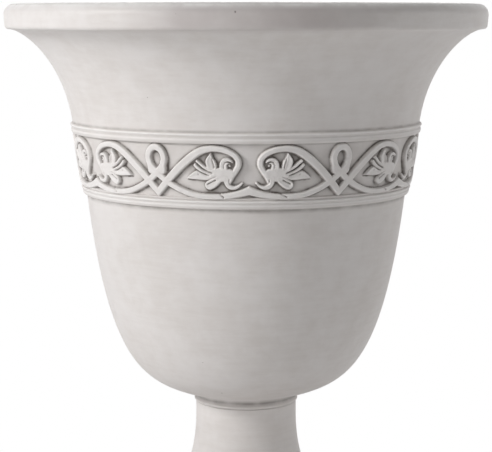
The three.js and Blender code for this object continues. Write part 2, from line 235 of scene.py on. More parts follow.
def turned(name: str, outline: Sequence[Place], steps: int, sweep: float = 360) -> Piece:
    """Turns an outline about the urn's axis, as on a lathe.

    Args:
        name: The piece's name.
        outline: Radius and height of the outline's points. It starts and ends on the
            axis, or ends where it starts.
        steps: Number of steps in the turn.
        sweep: How far it turns, in degrees.

    Returns:
        The turned piece.
    """
    piece = drawn(name, outline)
    bpy.ops.object.mode_set(mode="EDIT")
    bpy.ops.mesh.spin(steps=steps, angle=math.radians(sweep), center=(0, 0, 0), axis=(0, 0, 1))
    bpy.ops.object.mode_set(mode="OBJECT")
    close_up(piece)
    return piece


def add_modifier(piece: Piece, kind: str, **settings: object) -> None:
    """Adds a modifier to a piece and applies it.

    Args:
        piece: The piece.
        kind: The modifier's type.
        **settings: Values of the modifier's properties.
    """
    take_up(piece)
    bpy.ops.object.modifier_add(type=kind)
    modifier = piece.modifiers[-1]
    for key, value in settings.items():
        setattr(modifier, key, value)
    bpy.ops.object.modifier_apply(modifier=modifier.name)


def ease_edges(piece: Piece, width: float, segments: int, angle: float = 1.0) -> None:
    """Rounds a piece's sharp edges.

    Args:
        piece: The piece.
        width: How far the rounding reaches from an edge.
        segments: Faces across the rounding.
        angle: How far an edge turns to count as sharp, in radians.
    """
    add_modifier(
        piece, "BEVEL", width=width, segments=segments, limit_method="ANGLE", angle_limit=angle
    )


def combine(piece: Piece, tool: Piece, operation: str) -> None:
    """Joins a tool solid to a piece, or cuts it away, and clears the tool off.

    Args:
        piece: The piece that is changed.
        tool: The solid that is added or taken away.
        operation: UNION or DIFFERENCE.
    """
    add_modifier(piece, "BOOLEAN", operation=operation, solver="EXACT", object=tool)
    bpy.data.objects.remove(tool)


def smooth(piece: Piece, degrees: float) -> None:
    """Shades a piece smooth, apart from edges that turn further than an angle.

    Args:
        piece: The piece.
        degrees: The angle.
    """
    take_up(piece)
    bpy.ops.object.shade_smooth_by_angle(angle=math.radians(degrees))


def points_of(piece: Piece) -> np.ndarray:
    """A piece's points as rows of x, y and z.

    Args:
        piece: The piece.

    Returns:
        The coordinates.
    """
    places = np.empty(len(piece.data.vertices) * 3)
    piece.data.vertices.foreach_get("co", places)
    return places.reshape(-1, 3)


def move_points(piece: Piece, places: np.ndarray) -> None:
    """Puts a piece's points in new places.

    Args:
        piece: The piece.
        places: The coordinates as rows of x, y and z.
    """
    piece.data.vertices.foreach_set("co", places.ravel())
    piece.data.update()


def write_values(piece: Piece, name: str, values: np.ndarray) -> None:
    """Stores a number for each point of a piece, for its finish to read.

    Args:
        piece: The piece.
        name: The attribute's name.
        values: One number for each point.
    """
    store = piece.data.attributes.new(name, "FLOAT", "POINT")
    store.data.foreach_set("value", values.astype(np.float32))


def own_copy(piece: Piece, name: str, move: Matrix) -> Piece:
    """Copies a piece with a mesh of its own and moves the copy's mesh.

    Args:
        piece: The piece to copy.
        name: The copy's name.
        move: Where the copy's mesh goes from the piece's own.

    Returns:
        The copy.
    """
    take_up(piece)
    bpy.ops.object.duplicate(linked=False)
    copy = name_new(name)
    copy.data.transform(move)
    return copy


def fit_in(
    piece: Piece,
    body: str,
    material: Material,
    nodes: Iterable[str],
) -> None:
    """Gives a piece its finish and its place in the part.

    Args:
        piece: The finished piece.
        body: The body that it rides on.
        material: Its finish.
        nodes: The solids that it stands for.
    """
    if not piece.data.materials:
        piece.data.materials.append(material)
    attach(piece, body)
    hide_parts(*nodes)
    log.info("%s: %d faces, rides on %s", piece.name, len(piece.data.polygons), body)


# Shader work


class Graph:
    """Places and joins the nodes of one shader tree."""

    def __init__(self, tree: NodeTree) -> None:
        """Starts from an empty tree.

        Args:
            tree: The tree to fill.
        """
        self.tree = tree
        tree.nodes.clear()

    def add(self, kind: str, inputs: dict | None = None, **settings: object) -> bpy.types.Node:
        """Adds a node.

        Args:
            kind: The node's type, without its ShaderNode prefix.
            inputs: A value or another node's socket for each input, by name or number.
            **settings: Values of the node's properties.

        Returns:
            The node.
        """
        prefix = "" if kind.startswith("Node") else "ShaderNode"
        node = self.tree.nodes.new(prefix + kind)
        for key, value in settings.items():
            setattr(node, key, value)
        self.feed(node, inputs or {})
        return node

    def feed(self, node: bpy.types.Node, inputs: dict) -> None:
        """Sets a node's inputs, or links other nodes' sockets to them.

        Args:
            node: The node.
            inputs: A value or another node's socket for each input, by name or number.
        """
        for key, value in inputs.items():
            if isinstance(value, bpy.types.NodeSocket):
                self.tree.links.new(value, node.inputs[key])
            else:
                node.inputs[key].default_value = value

    def maths(self, operation: str, first: object, second: object = 0.0, clamp: bool = False) -> object:
        """Adds a maths node.

        Args:
            operation: The operation's name.
            first: First value or socket.
            second: Second value or socket.
            clamp: True to keep the result between 0 and 1.

        Returns:
            The result's socket.
        """
        node = self.add("Math", {0: first, 1: second}, operation=operation, use_clamp=clamp)
        return node.outputs[0]

    def product(self, first: object, second: object, clamp: bool = False) -> object:
        """Multiplies two values.

        Args:
            first: First value or socket.
            second: Second value or socket.
            clamp: True to keep the result between 0 and 1.

        Returns:
            The product's socket.
        """
        return self.maths("MULTIPLY", first, second, clamp)

    def blend(self, share: object, first: object, second: object) -> object:
        """Mixes two colours.

        Args:
            share: How much of the second colour, as a value or socket.
            first: First colour or socket.
            second: Second colour or socket.

        Returns:
            The mixed colour's socket.
        """
        return self.add("Mix", {0: share, 6: first, 7: second}, data_type="RGBA").outputs[2]

    def remap(self, value: object, span: Place, onto: Place = (0, 1)) -> object:
        """Stretches a range of values smoothly onto another, and holds it there.

        Args:
            value: The socket to stretch.
            span: The range's start and end.
            onto: What its start and its end become.

        Returns:
            The stretched value's socket.
        """
        inputs = {"Value": value, 1: span[0], 2: span[1], 3: onto[0], 4: onto[1]}
        return self.add("MapRange", inputs, interpolation_type="SMOOTHSTEP").outputs[0]

    def noise(self, vector: object, scale: float, detail: float, roughness: float = 0.5) -> object:
        """Adds a noise texture.

        Args:
            vector: The coordinates' socket.
            scale: Patches to the metre.
            detail: Octaves of finer noise.
            roughness: Strength of the finer noise.

        Returns:
            The noise value's socket.
        """
        inputs = {"Vector": vector, "Scale": scale, "Detail": detail, "Roughness": roughness}
        return self.add("TexNoise", inputs).outputs[0]

    def group(self, tree: NodeTree, inputs: dict) -> bpy.types.Node:
        """Places a node group.

        Args:
            tree: The group's tree.
            inputs: A value or a socket for each input, by name.

        Returns:
            The group's node.
        """
        return self.add("Group", inputs, node_tree=tree)


def new_group(name: str, inputs: dict[str, str], outputs: Iterable[str]) -> tuple[Graph, object]:
    """Starts a node group with named sockets.

    Args:
        name: The group's name.
        inputs: Socket type, Float or Vector, for each input's name.
        outputs: Names of the outputs, which are all numbers.

    Returns:
        The group's graph, and its input node.
    """
    tree = bpy.data.node_groups.new(name, "ShaderNodeTree")
    for label, kind in inputs.items():
        tree.interface.new_socket(name=label, in_out="INPUT", socket_type="NodeSocket" + kind)
    for label in outputs:
        tree.interface.new_socket(name=label, in_out="OUTPUT", socket_type="NodeSocketFloat")
    graph = Graph(tree)
    return graph, graph.add("NodeGroupInput")


def mottle_group() -> NodeTree:
    """Cloudy patches of three sizes, as in a cast or a coated face.

    Returns:
        The group, with inputs Vector and Scale and outputs Tone and Grain.
    """
    graph, given = new_group("mottle", {"Vector": "Vector", "Scale": "Float"}, ("Tone", "Grain"))
    spread = graph.add("VectorMath", {0: given.outputs["Vector"]}, operation="SCALE")
    graph.tree.links.new(given.outputs["Scale"], spread.inputs["Scale"])
    vector = spread.outputs[0]
    clouds = graph.noise(vector, scale=9, detail=4, roughness=0.55)
    patches = graph.noise(vector, scale=46, detail=5, roughness=0.6)
    grain = graph.noise(vector, scale=900, detail=3, roughness=0.6)
    cloud_share = 0.55
    tone = graph.maths("ADD", graph.product(clouds, cloud_share), graph.product(patches, 1 - cloud_share))
    graph.add("NodeGroupOutput", {"Tone": graph.remap(tone, (0.36, 0.64)), "Grain": grain})
    return graph.tree


def pinhole_group() -> NodeTree:
    """Scattered small round holes.

    Returns:
        The group, with inputs Vector, Scale, Size and Share and output Mask.
    """
    kinds = {"Vector": "Vector", "Scale": "Float", "Size": "Float", "Share": "Float"}
    graph, given = new_group("pinholes", kinds, ("Mask",))
    inputs = {"Vector": given.outputs["Vector"], "Scale": given.outputs["Scale"]}
    cells = graph.add("TexVoronoi", inputs, feature="F1")
    parts = graph.add("SeparateColor", {0: cells.outputs["Color"]})
    reach = graph.product(parts.outputs[1], given.outputs["Size"])
    inside = graph.maths("LESS_THAN", cells.outputs["Distance"], reach)
    chosen = graph.maths("LESS_THAN", parts.outputs[0], given.outputs["Share"])
    graph.add("NodeGroupOutput", {"Mask": graph.product(inside, chosen)})
    return graph.tree


def brush_group() -> NodeTree:
    """Fine marks drawn out sideways, as a brush or a lathe leaves them.

    Returns:
        The group, with inputs Vector and Stretch and output Mark.
    """
    graph, given = new_group("brush marks", {"Vector": "Vector", "Stretch": "Float"}, ("Mark",))
    stretch = graph.add("CombineXYZ", {0: 1.0, 1: 1.0, 2: given.outputs["Stretch"]})
    ends = {0: given.outputs["Vector"], 1: stretch.outputs[0]}
    drawn_out = graph.add("VectorMath", ends, operation="MULTIPLY").outputs[0]
    marks = graph.noise(drawn_out, scale=26, detail=6, roughness=0.62)
    graph.add("NodeGroupOutput", {"Mark": graph.remap(marks, (0.34, 0.66))})
    return graph.tree


def level_line_group() -> NodeTree:
    """A mask along a level line round a turned piece, uneven in strength, which lays dirt and painted shade
    in the creases and painted highlights on the proud lines.

    Returns:
        The group, with inputs Vector, Radius, Height and Reach and output Mask.
    """
    kinds = {"Vector": "Vector", "Radius": "Float", "Height": "Float", "Reach": "Float"}
    graph, given = new_group("level line mask", kinds, ("Mask",))
    parts = graph.add("SeparateXYZ", {0: given.outputs["Vector"]}).outputs
    level = graph.add("CombineXYZ", {0: parts[0], 1: parts[1]}).outputs[0]
    radius = graph.add("VectorMath", {0: level}, operation="LENGTH").outputs["Value"]
    out = graph.maths("SUBTRACT", radius, given.outputs["Radius"])
    over = graph.maths("SUBTRACT", parts[2], given.outputs["Height"])
    square = graph.maths("ADD", graph.product(out, out), graph.product(over, over))
    away = graph.maths("DIVIDE", graph.maths("SQRT", square), given.outputs["Reach"])
    falloff = 1.4
    near = graph.maths("POWER", graph.maths("SUBTRACT", 1.0, away, clamp=True), falloff)
    drift = graph.noise(given.outputs["Vector"], scale=60, detail=4)
    uneven = graph.remap(drift, (0.3, 0.65), (0.55, 1))
    graph.add("NodeGroupOutput", {"Mask": graph.product(near, uneven)})
    return graph.tree


def chip_group() -> NodeTree:
    """A ragged pit round one place.

    Returns:
        The group, with inputs Vector, Centre and Reach and output Mask.
    """
    kinds = {"Vector": "Vector", "Centre": "Vector", "Reach": "Float"}
    graph, given = new_group("chip", kinds, ("Mask",))
    ends = {0: given.outputs["Vector"], 1: given.outputs["Centre"]}
    away = graph.add("VectorMath", ends, operation="DISTANCE").outputs["Value"]
    crumbs = graph.noise(given.outputs["Vector"], scale=900, detail=3, roughness=0.7)
    ragged = graph.remap(crumbs, (0.3, 0.7), (0.5, 1.3))
    share = graph.maths("DIVIDE", away, graph.product(given.outputs["Reach"], ragged))
    graph.add("NodeGroupOutput", {"Mask": graph.remap(share, (0.6, 1), (1, 0))})
    return graph.tree


def dust_group() -> NodeTree:
    """Dust that lies on faces that look up.

    Returns:
        The group, with inputs Vector and Amount and output Mask.
    """
    graph, given = new_group("dust", {"Vector": "Vector", "Amount": "Float"}, ("Mask",))
    facing = graph.add("SeparateXYZ", {0: graph.add("NewGeometry").outputs["Normal"]})
    level = graph.remap(facing.outputs[2], (0.45, 1))
    flecks = graph.noise(given.outputs["Vector"], scale=120, detail=5, roughness=0.65)
    lying = graph.product(level, graph.remap(flecks, (0.35, 0.7), (0.2, 1)))
    graph.add("NodeGroupOutput", {"Mask": graph.product(lying, given.outputs["Amount"])})
    return graph.tree


@dataclass
class Effects:
    """The node groups that the finishes share, built once."""

    mottle: NodeTree = field(default_factory=mottle_group)
    pinholes: NodeTree = field(default_factory=pinhole_group)
    brush: NodeTree = field(default_factory=brush_group)
    seam: NodeTree = field(default_factory=level_line_group)
    chip: NodeTree = field(default_factory=chip_group)
    dust: NodeTree = field(default_factory=dust_group)


def new_material(name: str) -> tuple[Material, Graph, bpy.types.Node]:
    """Starts a material with one Principled shader.

    Args:
        name: The material's name.

    Returns:
        The material, its graph and its shader node.
    """
    material = bpy.data.materials.new(name)
    material.use_nodes = True
    graph = Graph(material.node_tree)
    shader = graph.add("BsdfPrincipled")
    graph.add("OutputMaterial", {"Surface": shader.outputs[0]})
    return material, graph, shader


@dataclass(frozen=True)
class Seam:
    """A level line round the urn, darkened with dirt and painted shade in a crease or brightened as a
    painted highlight on a proud line.
    """

    radius: float
    height: float
    reach: float
    strength: float


@dataclass(frozen=True)
class Chip:
    """A small dark pit in the coat."""

    azimuth: float
    radius: float
    height: float
    reach: float

    @property
    def centre(self) -> tuple[float, float, float]:
        """The pit's place, with the azimuth counted in degrees from the front to the right."""
        side = math.radians(self.azimuth)
        return (self.radius * math.sin(side), -self.radius * math.cos(side), self.height)


@dataclass(frozen=True)
class StoneFinish:
    """The antiqued coat of the castings: pale, brushed, with a grey wash and painted shade in the hollows
    and creases, painted highlights on the proud lines and a painted shade over the lip's front.
    """

    name: str
    light: Colour = (0.755, 0.722, 0.705, 1)
    dark: Colour = (0.69, 0.65, 0.625, 1)
    # Dark colour of the grey wash, of the painted shade in hollows and creases, and of the pits.
    wash_and_shade: Colour = (0.14, 0.123, 0.11, 1)
    worn: Colour = (0.82, 0.795, 0.78, 1)
    # Pale colour of the rubbed wear and of the painted highlights on proud lines.
    highlight_and_wear: Colour = (0.93, 0.91, 0.895, 1)
    # Lip colour: a real stain, with painted shade over the lip's front.
    lip_stain_and_shade: Colour = (0.535, 0.492, 0.48, 1)
    lip_rise: Place = (2, 3)
    # The side of the lip that the painted shade lies on.
    shaded_side: tuple[float, float, float] = (0.04, -1, 0)
    shade_reach: Place = (0.232, 0.27)
    roughness: float = 0.5
    roughness_spread: float = 0.12
    lip_gloss: float = 0.14
    specular: float = 0.22
    brush_share: float = 0.22
    brush_stretch: float = 7
    wear_share: float = 0.55
    pinhole_scale: float = 150
    pinhole_share: float = 0.012
    pinhole_size: float = 0.12
    pit_darkness: float = 0.7
    bump_depth: float = 0.0005
    grain_relief: float = 0.1
    brush_relief: float = 0.16
    patch_relief: float = 0.2
    pit_relief: float = 0.8
    dirt_and_shade_seams: tuple[Seam, ...] = ()
    highlight_lines: tuple[Seam, ...] = ()
    chips: tuple[Chip, ...] = ()

    def pits(self, graph: Graph, effects: Effects, vector: object) -> object:
        """Masks the scattered pinholes and the placed pits.

        Args:
            graph: The material's graph.
            effects: The shared node groups.
            vector: The coordinates' socket.

        Returns:
            The mask's socket.
        """
        inputs = {"Scale": self.pinhole_scale, "Size": self.pinhole_size, "Share": self.pinhole_share}
        mask = graph.group(effects.pinholes, {"Vector": vector, **inputs}).outputs[0]
        for chip in self.chips:
            inputs = {"Vector": vector, "Centre": chip.centre, "Reach": chip.reach}
            mask = graph.maths("MAXIMUM", mask, graph.group(effects.chip, inputs).outputs[0])
        return mask

    def line(self, graph: Graph, effects: Effects, vector: object, seam: Seam) -> object:
        """Masks one level line round the urn.

        Args:
            graph: The material's graph.
            effects: The shared node groups.
            vector: The coordinates' socket.
            seam: The line.

        Returns:
            The mask's socket.
        """
        inputs = {"Vector": vector, "Radius": seam.radius, "Height": seam.height, "Reach": seam.reach}
        return graph.product(graph.group(effects.seam, inputs).outputs[0], seam.strength)

    def washed_and_shaded(self, graph: Graph, effects: Effects, vector: object) -> object:
        """Masks the hollows and the creases that hold the grey wash and the painted shade.

        Args:
            graph: The material's graph.
            effects: The shared node groups.
            vector: The coordinates' socket.

        Returns:
            The mask's socket.
        """
        hollow = graph.add("Attribute", attribute_name="wash_and_shade").outputs["Fac"]
        drift = graph.noise(vector, scale=85, detail=5, roughness=0.6)
        mask = graph.product(hollow, graph.remap(drift, (0.3, 0.7), (0.55, 1.2)), clamp=True)
        for seam in self.dirt_and_shade_seams:
            mask = graph.maths("MAXIMUM", mask, self.line(graph, effects, vector, seam))
        return mask

    def stained_and_shaded(self, graph: Graph, vector: object, high: object) -> object:
        """Masks the blotchy stain, and the painted shade over its front side, on what is high.

        Args:
            graph: The material's graph.
            vector: The coordinates' socket.
            high: The mask of what is high enough.

        Returns:
            The mask's socket.
        """
        blotches = graph.noise(vector, scale=11, detail=4, roughness=0.55)
        # Painted shade over the lip's front side; the blotches are the stain.
        facing = graph.add("VectorMath", {0: vector, 1: self.shaded_side}, operation="DOT_PRODUCT")
        front_shade = graph.remap(facing.outputs["Value"], self.shade_reach)
        return graph.product(high, graph.product(graph.remap(blotches, (0.3, 0.7), (0.45, 1)), front_shade))

    def make(self, effects: Effects) -> Material:
        """Builds the material.

        Args:
            effects: The shared node groups.

        Returns:
            The material.
        """
        material, graph, shader = new_material(self.name)
        vector = graph.add("TexCoord").outputs["Object"]
        mottle = graph.group(effects.mottle, {"Vector": vector, "Scale": 1.0}).outputs
        brush = graph.group(effects.brush, {"Vector": vector, "Stretch": self.brush_stretch}).outputs[0]
        pits = self.pits(graph, effects, vector)
        high = graph.remap(graph.add("SeparateXYZ", {0: vector}).outputs[2], self.lip_rise)

        colour = graph.blend(mottle["Tone"], self.dark, self.light)
        colour = graph.blend(graph.product(brush, self.brush_share), colour, self.worn)
        # The lip's stain, with painted shade on its front.
        colour = graph.blend(self.stained_and_shaded(graph, vector, high), colour, self.lip_stain_and_shade)
        # Painted highlights along the proud lines, where light catches them.
        for highlight_line in self.highlight_lines:
            colour = graph.blend(self.line(graph, effects, vector, highlight_line), colour, self.highlight_and_wear)
        wear = graph.add("Attribute", attribute_name="wear").outputs["Fac"]
        colour = graph.blend(graph.product(wear, self.wear_share, clamp=True), colour, self.highlight_and_wear)
        # Grey wash in the hollows, with painted shade in the creases and under the straps.
        colour = graph.blend(self.washed_and_shaded(graph, effects, vector), colour, self.wash_and_shade)
        colour = graph.blend(graph.product(pits, self.pit_darkness), colour, self.wash_and_shade)

        rough = graph.maths("ADD", graph.product(mottle["Tone"], self.roughness_spread), self.roughness)
        rough = graph.maths("SUBTRACT", rough, graph.product(high, self.lip_gloss))
        relief = graph.maths(
            "ADD",
            graph.product(mottle["Grain"], self.grain_relief),
            graph.product(brush, self.brush_relief),
        )
        relief = graph.maths("ADD", relief, graph.product(mottle["Tone"], self.patch_relief))
        relief = graph.maths("SUBTRACT", relief, graph.product(pits, self.pit_relief))
        bump = graph.add("Bump", {"Height": relief, "Distance": self.bump_depth, "Strength": 1.0})
        inputs = {"Base Color": colour, "Roughness": rough, "Normal": bump.outputs[0]}
        graph.feed(shader, {**inputs, "Specular IOR Level": self.specular})
        return material


@dataclass(frozen=True)
class FittingFinish:
    """The finish of a small fitting: cloudy patches of two tones, and dust on what looks up."""

    name: str
    dark: Colour
    light: Colour
    dust: Colour
    dust_amount: float
    patch_scale: float
    roughness: float
    roughness_spread: float
    bump_depth: float
    bump_strength: float
    metal: bool = False
    brush_stretch: float = 0
    dust_dulling: float = 0.8

    def make(self, effects: Effects) -> Material:
        """Builds the material.

        Args:
            effects: The shared node groups.

        Returns:
            The material.
        """
        material, graph, shader = new_material(self.name)
        vector = graph.add("TexCoord").outputs["Object"]
        mottle = graph.group(effects.mottle, {"Vector": vector, "Scale": self.patch_scale}).outputs
        dust = graph.group(effects.dust, {"Vector": vector, "Amount": self.dust_amount}).outputs[0]
        colour = graph.blend(dust, graph.blend(mottle["Tone"], self.dark, self.light), self.dust)
        rough = graph.maths("ADD", graph.product(mottle["Tone"], self.roughness_spread), self.roughness)
        relief = mottle["Grain"]
        if self.brush_stretch > 0:
            inputs = {"Vector": vector, "Stretch": self.brush_stretch}
            relief = graph.group(effects.brush, inputs).outputs[0]
        inputs = {"Height": relief, "Distance": self.bump_depth, "Strength": self.bump_strength}
        bump = graph.add("Bump", inputs).outputs[0]
        graph.feed(shader, {"Base Color": colour, "Roughness": rough, "Normal": bump})
        if self.metal:
            bare = graph.maths("SUBTRACT", 1.0, graph.product(dust, self.dust_dulling))
            graph.feed(shader, {"Metallic": bare})
        return material


ZINC_PLATE = FittingFinish(
    "zinc_plate",
    dark=(0.46, 0.47, 0.48, 1),
    light=(0.68, 0.69, 0.7, 1),
    dust=(0.4, 0.37, 0.33, 1),
    dust_amount=0.3,
    patch_scale=6,
    roughness=0.3,
    roughness_spread=0.16,
    bump_depth=0.00006,
    bump_strength=0.6,
    metal=True,
    brush_stretch=20,
)
MOULDED_RUBBER = FittingFinish(
    "moulded_rubber",
    dark=(0.022, 0.022, 0.023, 1),
    light=(0.055, 0.054, 0.052, 1),
    dust=(0.3, 0.28, 0.25, 1),
    dust_amount=0.35,
    patch_scale=4,
    roughness=0.62,
    roughness_spread=0.15,
    bump_depth=0.00012,
    bump_strength=0.7,
)


# Bowl casting


@dataclass
class BowlCasting:
    """The bell-shaped bowl with its rolled lip and its beads, and a bed for the frieze."""

    base: float
    height: float = 0.46
    wall: float = 0.009
    floor: float = 0.016
    lip_radius: float = 0.273
    lip_height: float = 0.028
    lip_width: float = 0.027
    lip_top_round: float = 0.012
    lip_bottom_round: float = 0.0046
    lip_inner_round: float = 0.005
    lip_draft: float = 0.0008
    throat_radius: float = 0.198
    flare_height: float = 0.104
    flare_top_reach: float = 0.016
    flare_bottom_reach: Place = (0.0099, 0.0695)
    frieze_top_radius: float = 0.1942
    frieze_bottom_radius: float = 0.1854
    frieze_height: float = 0.057
    frieze_bed_depth: float = 0.0018
    upper_moulding_height: float = 0.011
    moulding_overhang: float = 0.0013
    upper_moulding: tuple[Place, ...] = (
        (0.1966, -0.0013), (0.198, -0.001), (0.1989, 0), (0.1994, 0.0016), (0.1994, 0.0034),
        (0.199, 0.0046), (0.1989, 0.0054), (0.1993, 0.0063), (0.2002, 0.0073), (0.2005, 0.0082),
        (0.2001, 0.0092), (0.199, 0.0101), (0.198, 0.0106),
    )
    lower_moulding_height: float = 0.013
    lower_moulding: tuple[Place, ...] = (
        (0.1828, -0.0006), (0.1846, -0.0004), (0.1859, 0.0003), (0.1867, 0.0016), (0.1871, 0.0031),
        (0.1872, 0.0042), (0.1871, 0.005), (0.1874, 0.0057), (0.1882, 0.0066), (0.1885, 0.0076),
        (0.188, 0.0086), (0.187, 0.0093), (0.1872, 0.0099), (0.1877, 0.0106), (0.1878, 0.0113),
        (0.1872, 0.0119), (0.186, 0.0123),
    )
    shoulder_radius: float = 0.1826
    belly_top_reach: Place = (0.0217, 0.1856)
    belly_base_reach: Place = (0.0399, 0.0147)
    belly_base_radius: float = 0.0847
    belly_base_height: float = 0.0201
    underside: tuple[Place, ...] = (
        (0.0605, 0.0122), (0.0612, 0.0136), (0.0628, 0.0147), (0.0655, 0.0154), (0.07, 0.0163),
        (0.0775, 0.0179),
    )
    floor_radius: float = 0.056
    foot_ring: tuple[Place, ...] = (
        (0.0564, 0.0001), (0.0566, 0.0018), (0.0574, 0.002), (0.0586, 0.0022), (0.0594, 0.0027),
        (0.06, 0.0037), (0.0602, 0.0047), (0.0599, 0.0056), (0.0593, 0.0063), (0.0589, 0.0073),
        (0.0589, 0.0087), (0.0592, 0.0098), (0.0598, 0.011),
    )
    bolt_hole_radius: float = 0.006
    drain_hole_radius: float = 0.007
    drain_circle_radius: float = 0.033
    drain_count: int = 4
    inner_line_slope: float = 0.2
    turn_steps: int = 192

    @property
    def upper_bead_top(self) -> float:
        """Height of the upper bead's top edge."""
        return self.height - self.lip_height - self.flare_height

    @property
    def frieze_top(self) -> float:
        """Height of the frieze band's top."""
        return self.upper_bead_top - self.upper_moulding_height

    @property
    def frieze_bottom(self) -> float:
        """Height of the frieze band's bottom."""
        return self.frieze_top - self.frieze_height

    @property
    def shoulder(self) -> float:
        """Height of the belly's top, under the lowest bead."""
        return self.frieze_bottom - self.lower_moulding_height

    def belly(self, steps: int) -> list[Place]:
        """The bell's outer curve from the rim of its underside to the shoulder.

        Args:
            steps: Number of chords.

        Returns:
            The curve's points.
        """
        low = (self.belly_base_radius, self.belly_base_height)
        top = (self.shoulder_radius, self.shoulder)
        low_handle = (low[0] + self.belly_base_reach[0], low[1] + self.belly_base_reach[1])
        top_handle = (top[0] - self.belly_top_reach[0], top[1] - self.belly_top_reach[1])
        return bezier(low, low_handle, top_handle, top, steps)

    def flare(self, steps: int) -> list[Place]:
        """The outer sweep from the upper bead to the underside of the lip.

        Args:
            steps: Number of chords.

        Returns:
            The curve's points.
        """
        low = (self.throat_radius, self.upper_bead_top)
        end = self.lip_radius - self.lip_draft - self.lip_bottom_round
        top = (end, self.height - self.lip_height)
        low_handle = (low[0] + self.flare_bottom_reach[0], low[1] + self.flare_bottom_reach[1])
        return bezier(low, low_handle, (top[0] - self.flare_top_reach, top[1]), top, steps)

    def lip(self) -> list[Place]:
        """The lip's section, from the end of the flare round to its inner edge.

        Returns:
            The section's points.
        """
        end = self.lip_radius - self.lip_draft - self.lip_bottom_round
        low = (end, self.height - self.lip_height + self.lip_bottom_round)
        top = (self.lip_radius - self.lip_top_round, self.height - self.lip_top_round)
        mouth = self.lip_radius - self.lip_width
        inner = (mouth + self.lip_inner_round, self.height - self.lip_inner_round)
        return [
            *arc(low, self.lip_bottom_round, -90, 0, 6),
            *arc(top, self.lip_top_round, 0, 90, 14),
            *arc(inner, self.lip_inner_round, 90, 180, 8),
        ]

    def mouldings(self) -> list[Place]:
        """The outline from the shoulder over both mouldings, with the frieze's bed between them.

        Returns:
            The outline's points.
        """
        return [
            *((radius, self.shoulder + rise) for radius, rise in self.lower_moulding),
            (self.frieze_bottom_radius - self.frieze_bed_depth, self.frieze_bottom),
            (
                self.frieze_top_radius - self.frieze_bed_depth,
                self.frieze_top - self.moulding_overhang,
            ),
            *((radius, self.frieze_top + rise) for radius, rise in self.upper_moulding),
        ]

    def outer(self) -> list[Place]:
        """The whole outer outline, from the foot to the lip's inner edge.

        Returns:
            The outline's points.
        """
        return [
            *self.foot_ring,
            *self.underside,
            *self.belly(64),
            *self.mouldings(),
            *self.flare(44),
            *self.lip()[1:],
        ]

    def inner(self) -> list[Place]:
        """The inner outline, from the mouth down to the bolt hole's edge on the floor.

        Returns:
            The outline's points.
        """
        flare = offset_inward(self.flare(30), self.wall)
        belly = offset_inward([*self.underside[-2:], *self.belly(40)], self.wall)
        mouth = self.lip_radius - self.lip_width
        wall = [place for place in belly + flare if self.floor < place[1] and place[0] < mouth - MM]
        corner = (self.floor_radius, self.floor)
        return [*reversed(wall), corner, (self.bolt_hole_radius, self.floor)]

    def drain_tools(self) -> Piece:
        """Four cylinders in one object that cut the drain holes through the floor.

        Returns:
            The cylinders.
        """
        depth = self.floor * 3
        tools = None
        for index in range(self.drain_count):
            angle = (index + 0.5) * 2 * math.pi / self.drain_count
            x = self.drain_circle_radius * math.cos(angle)
            y = self.drain_circle_radius * math.sin(angle)
            put_down_all()
            place = (x, y, self.base + self.floor / 2)
            bpy.ops.mesh.primitive_cylinder_add(
                vertices=48, radius=self.drain_hole_radius, depth=depth, location=place
            )
            settle(bpy.context.object)
            if tools is not None:
                tools.select_set(True)
                bpy.context.view_layer.objects.active = tools
                bpy.ops.object.join()
            tools = bpy.context.object
        return tools

    def build(self, outside: Material, inside: Material) -> Piece:
        """Turns the bowl, drills it and dresses it.

        Args:
            outside: Finish of its outer face and lip.
            inside: Finish of its inner face.

        Returns:
            The bowl.
        """
        inner = self.inner()
        foot = self.foot_ring[0]
        outline = [*self.outer(), *inner, (self.bolt_hole_radius, foot[1]), foot]
        lifted = [(radius, height + self.base) for radius, height in outline]
        piece = turned("bowl_casting", lifted, self.turn_steps)
        combine(piece, self.drain_tools(), "DIFFERENCE")
        piece.data.materials.append(outside)
        piece.data.materials.append(inside)
        self.line_inside(piece)
        smooth(piece, 28)
        fit_in(piece, "urn", outside, ("bowl",))
        return piece

    def line_inside(self, piece: Piece) -> None:
        """Gives the faces of the hollow the inner finish.

        Args:
            piece: The turned bowl.
        """
        top = self.base + self.height - self.lip_inner_round * 1.5
        low = self.base + self.floor - MM
        for face in piece.data.polygons:
            centre = face.center
            out = Vector((centre.x, centre.y, 0)).normalized()
            hollow = face.normal.dot(out) < self.inner_line_slope and low < centre.z < top
            within = centre.to_2d().length < self.lip_radius - self.lip_width * 0.75
            face.material_index = 1 if hollow and within else 0


# Carved frieze


def spline(places: Sequence[Sequence[float]], steps: int = 10) -> np.ndarray:
    """A smooth curve through places, each with its own half-width.

    Args:
        places: Rows of place along the band, place up it, and half-width.
        steps: Chords between two places.

    Returns:
        Rows of the same three numbers along the curve.
    """
    rows = np.array(places, float)
    rows = np.vstack([2 * rows[0] - rows[1], rows, 2 * rows[-1] - rows[-2]])
    out = []
    for a, b, c, d in zip(rows, rows[1:], rows[2:], rows[3:]):
        for t in np.arange(steps) / steps:
            out.append(
                0.5 * (2 * b + (c - a) * t + (2 * a - 5 * b + 4 * c - d) * t**2
                       + (3 * b - a - 3 * c + d) * t**3)
            )
    out.append(rows[-2])
    return np.array(out)


def ease(share: np.ndarray) -> np.ndarray:
    """Eases a share from 0 to 1 in and out.

    Args:
        share: The shares.

    Returns:
        The eased shares.
    """
    share = np.clip(share, 0, 1)
    return share * share * (3 - 2 * share)


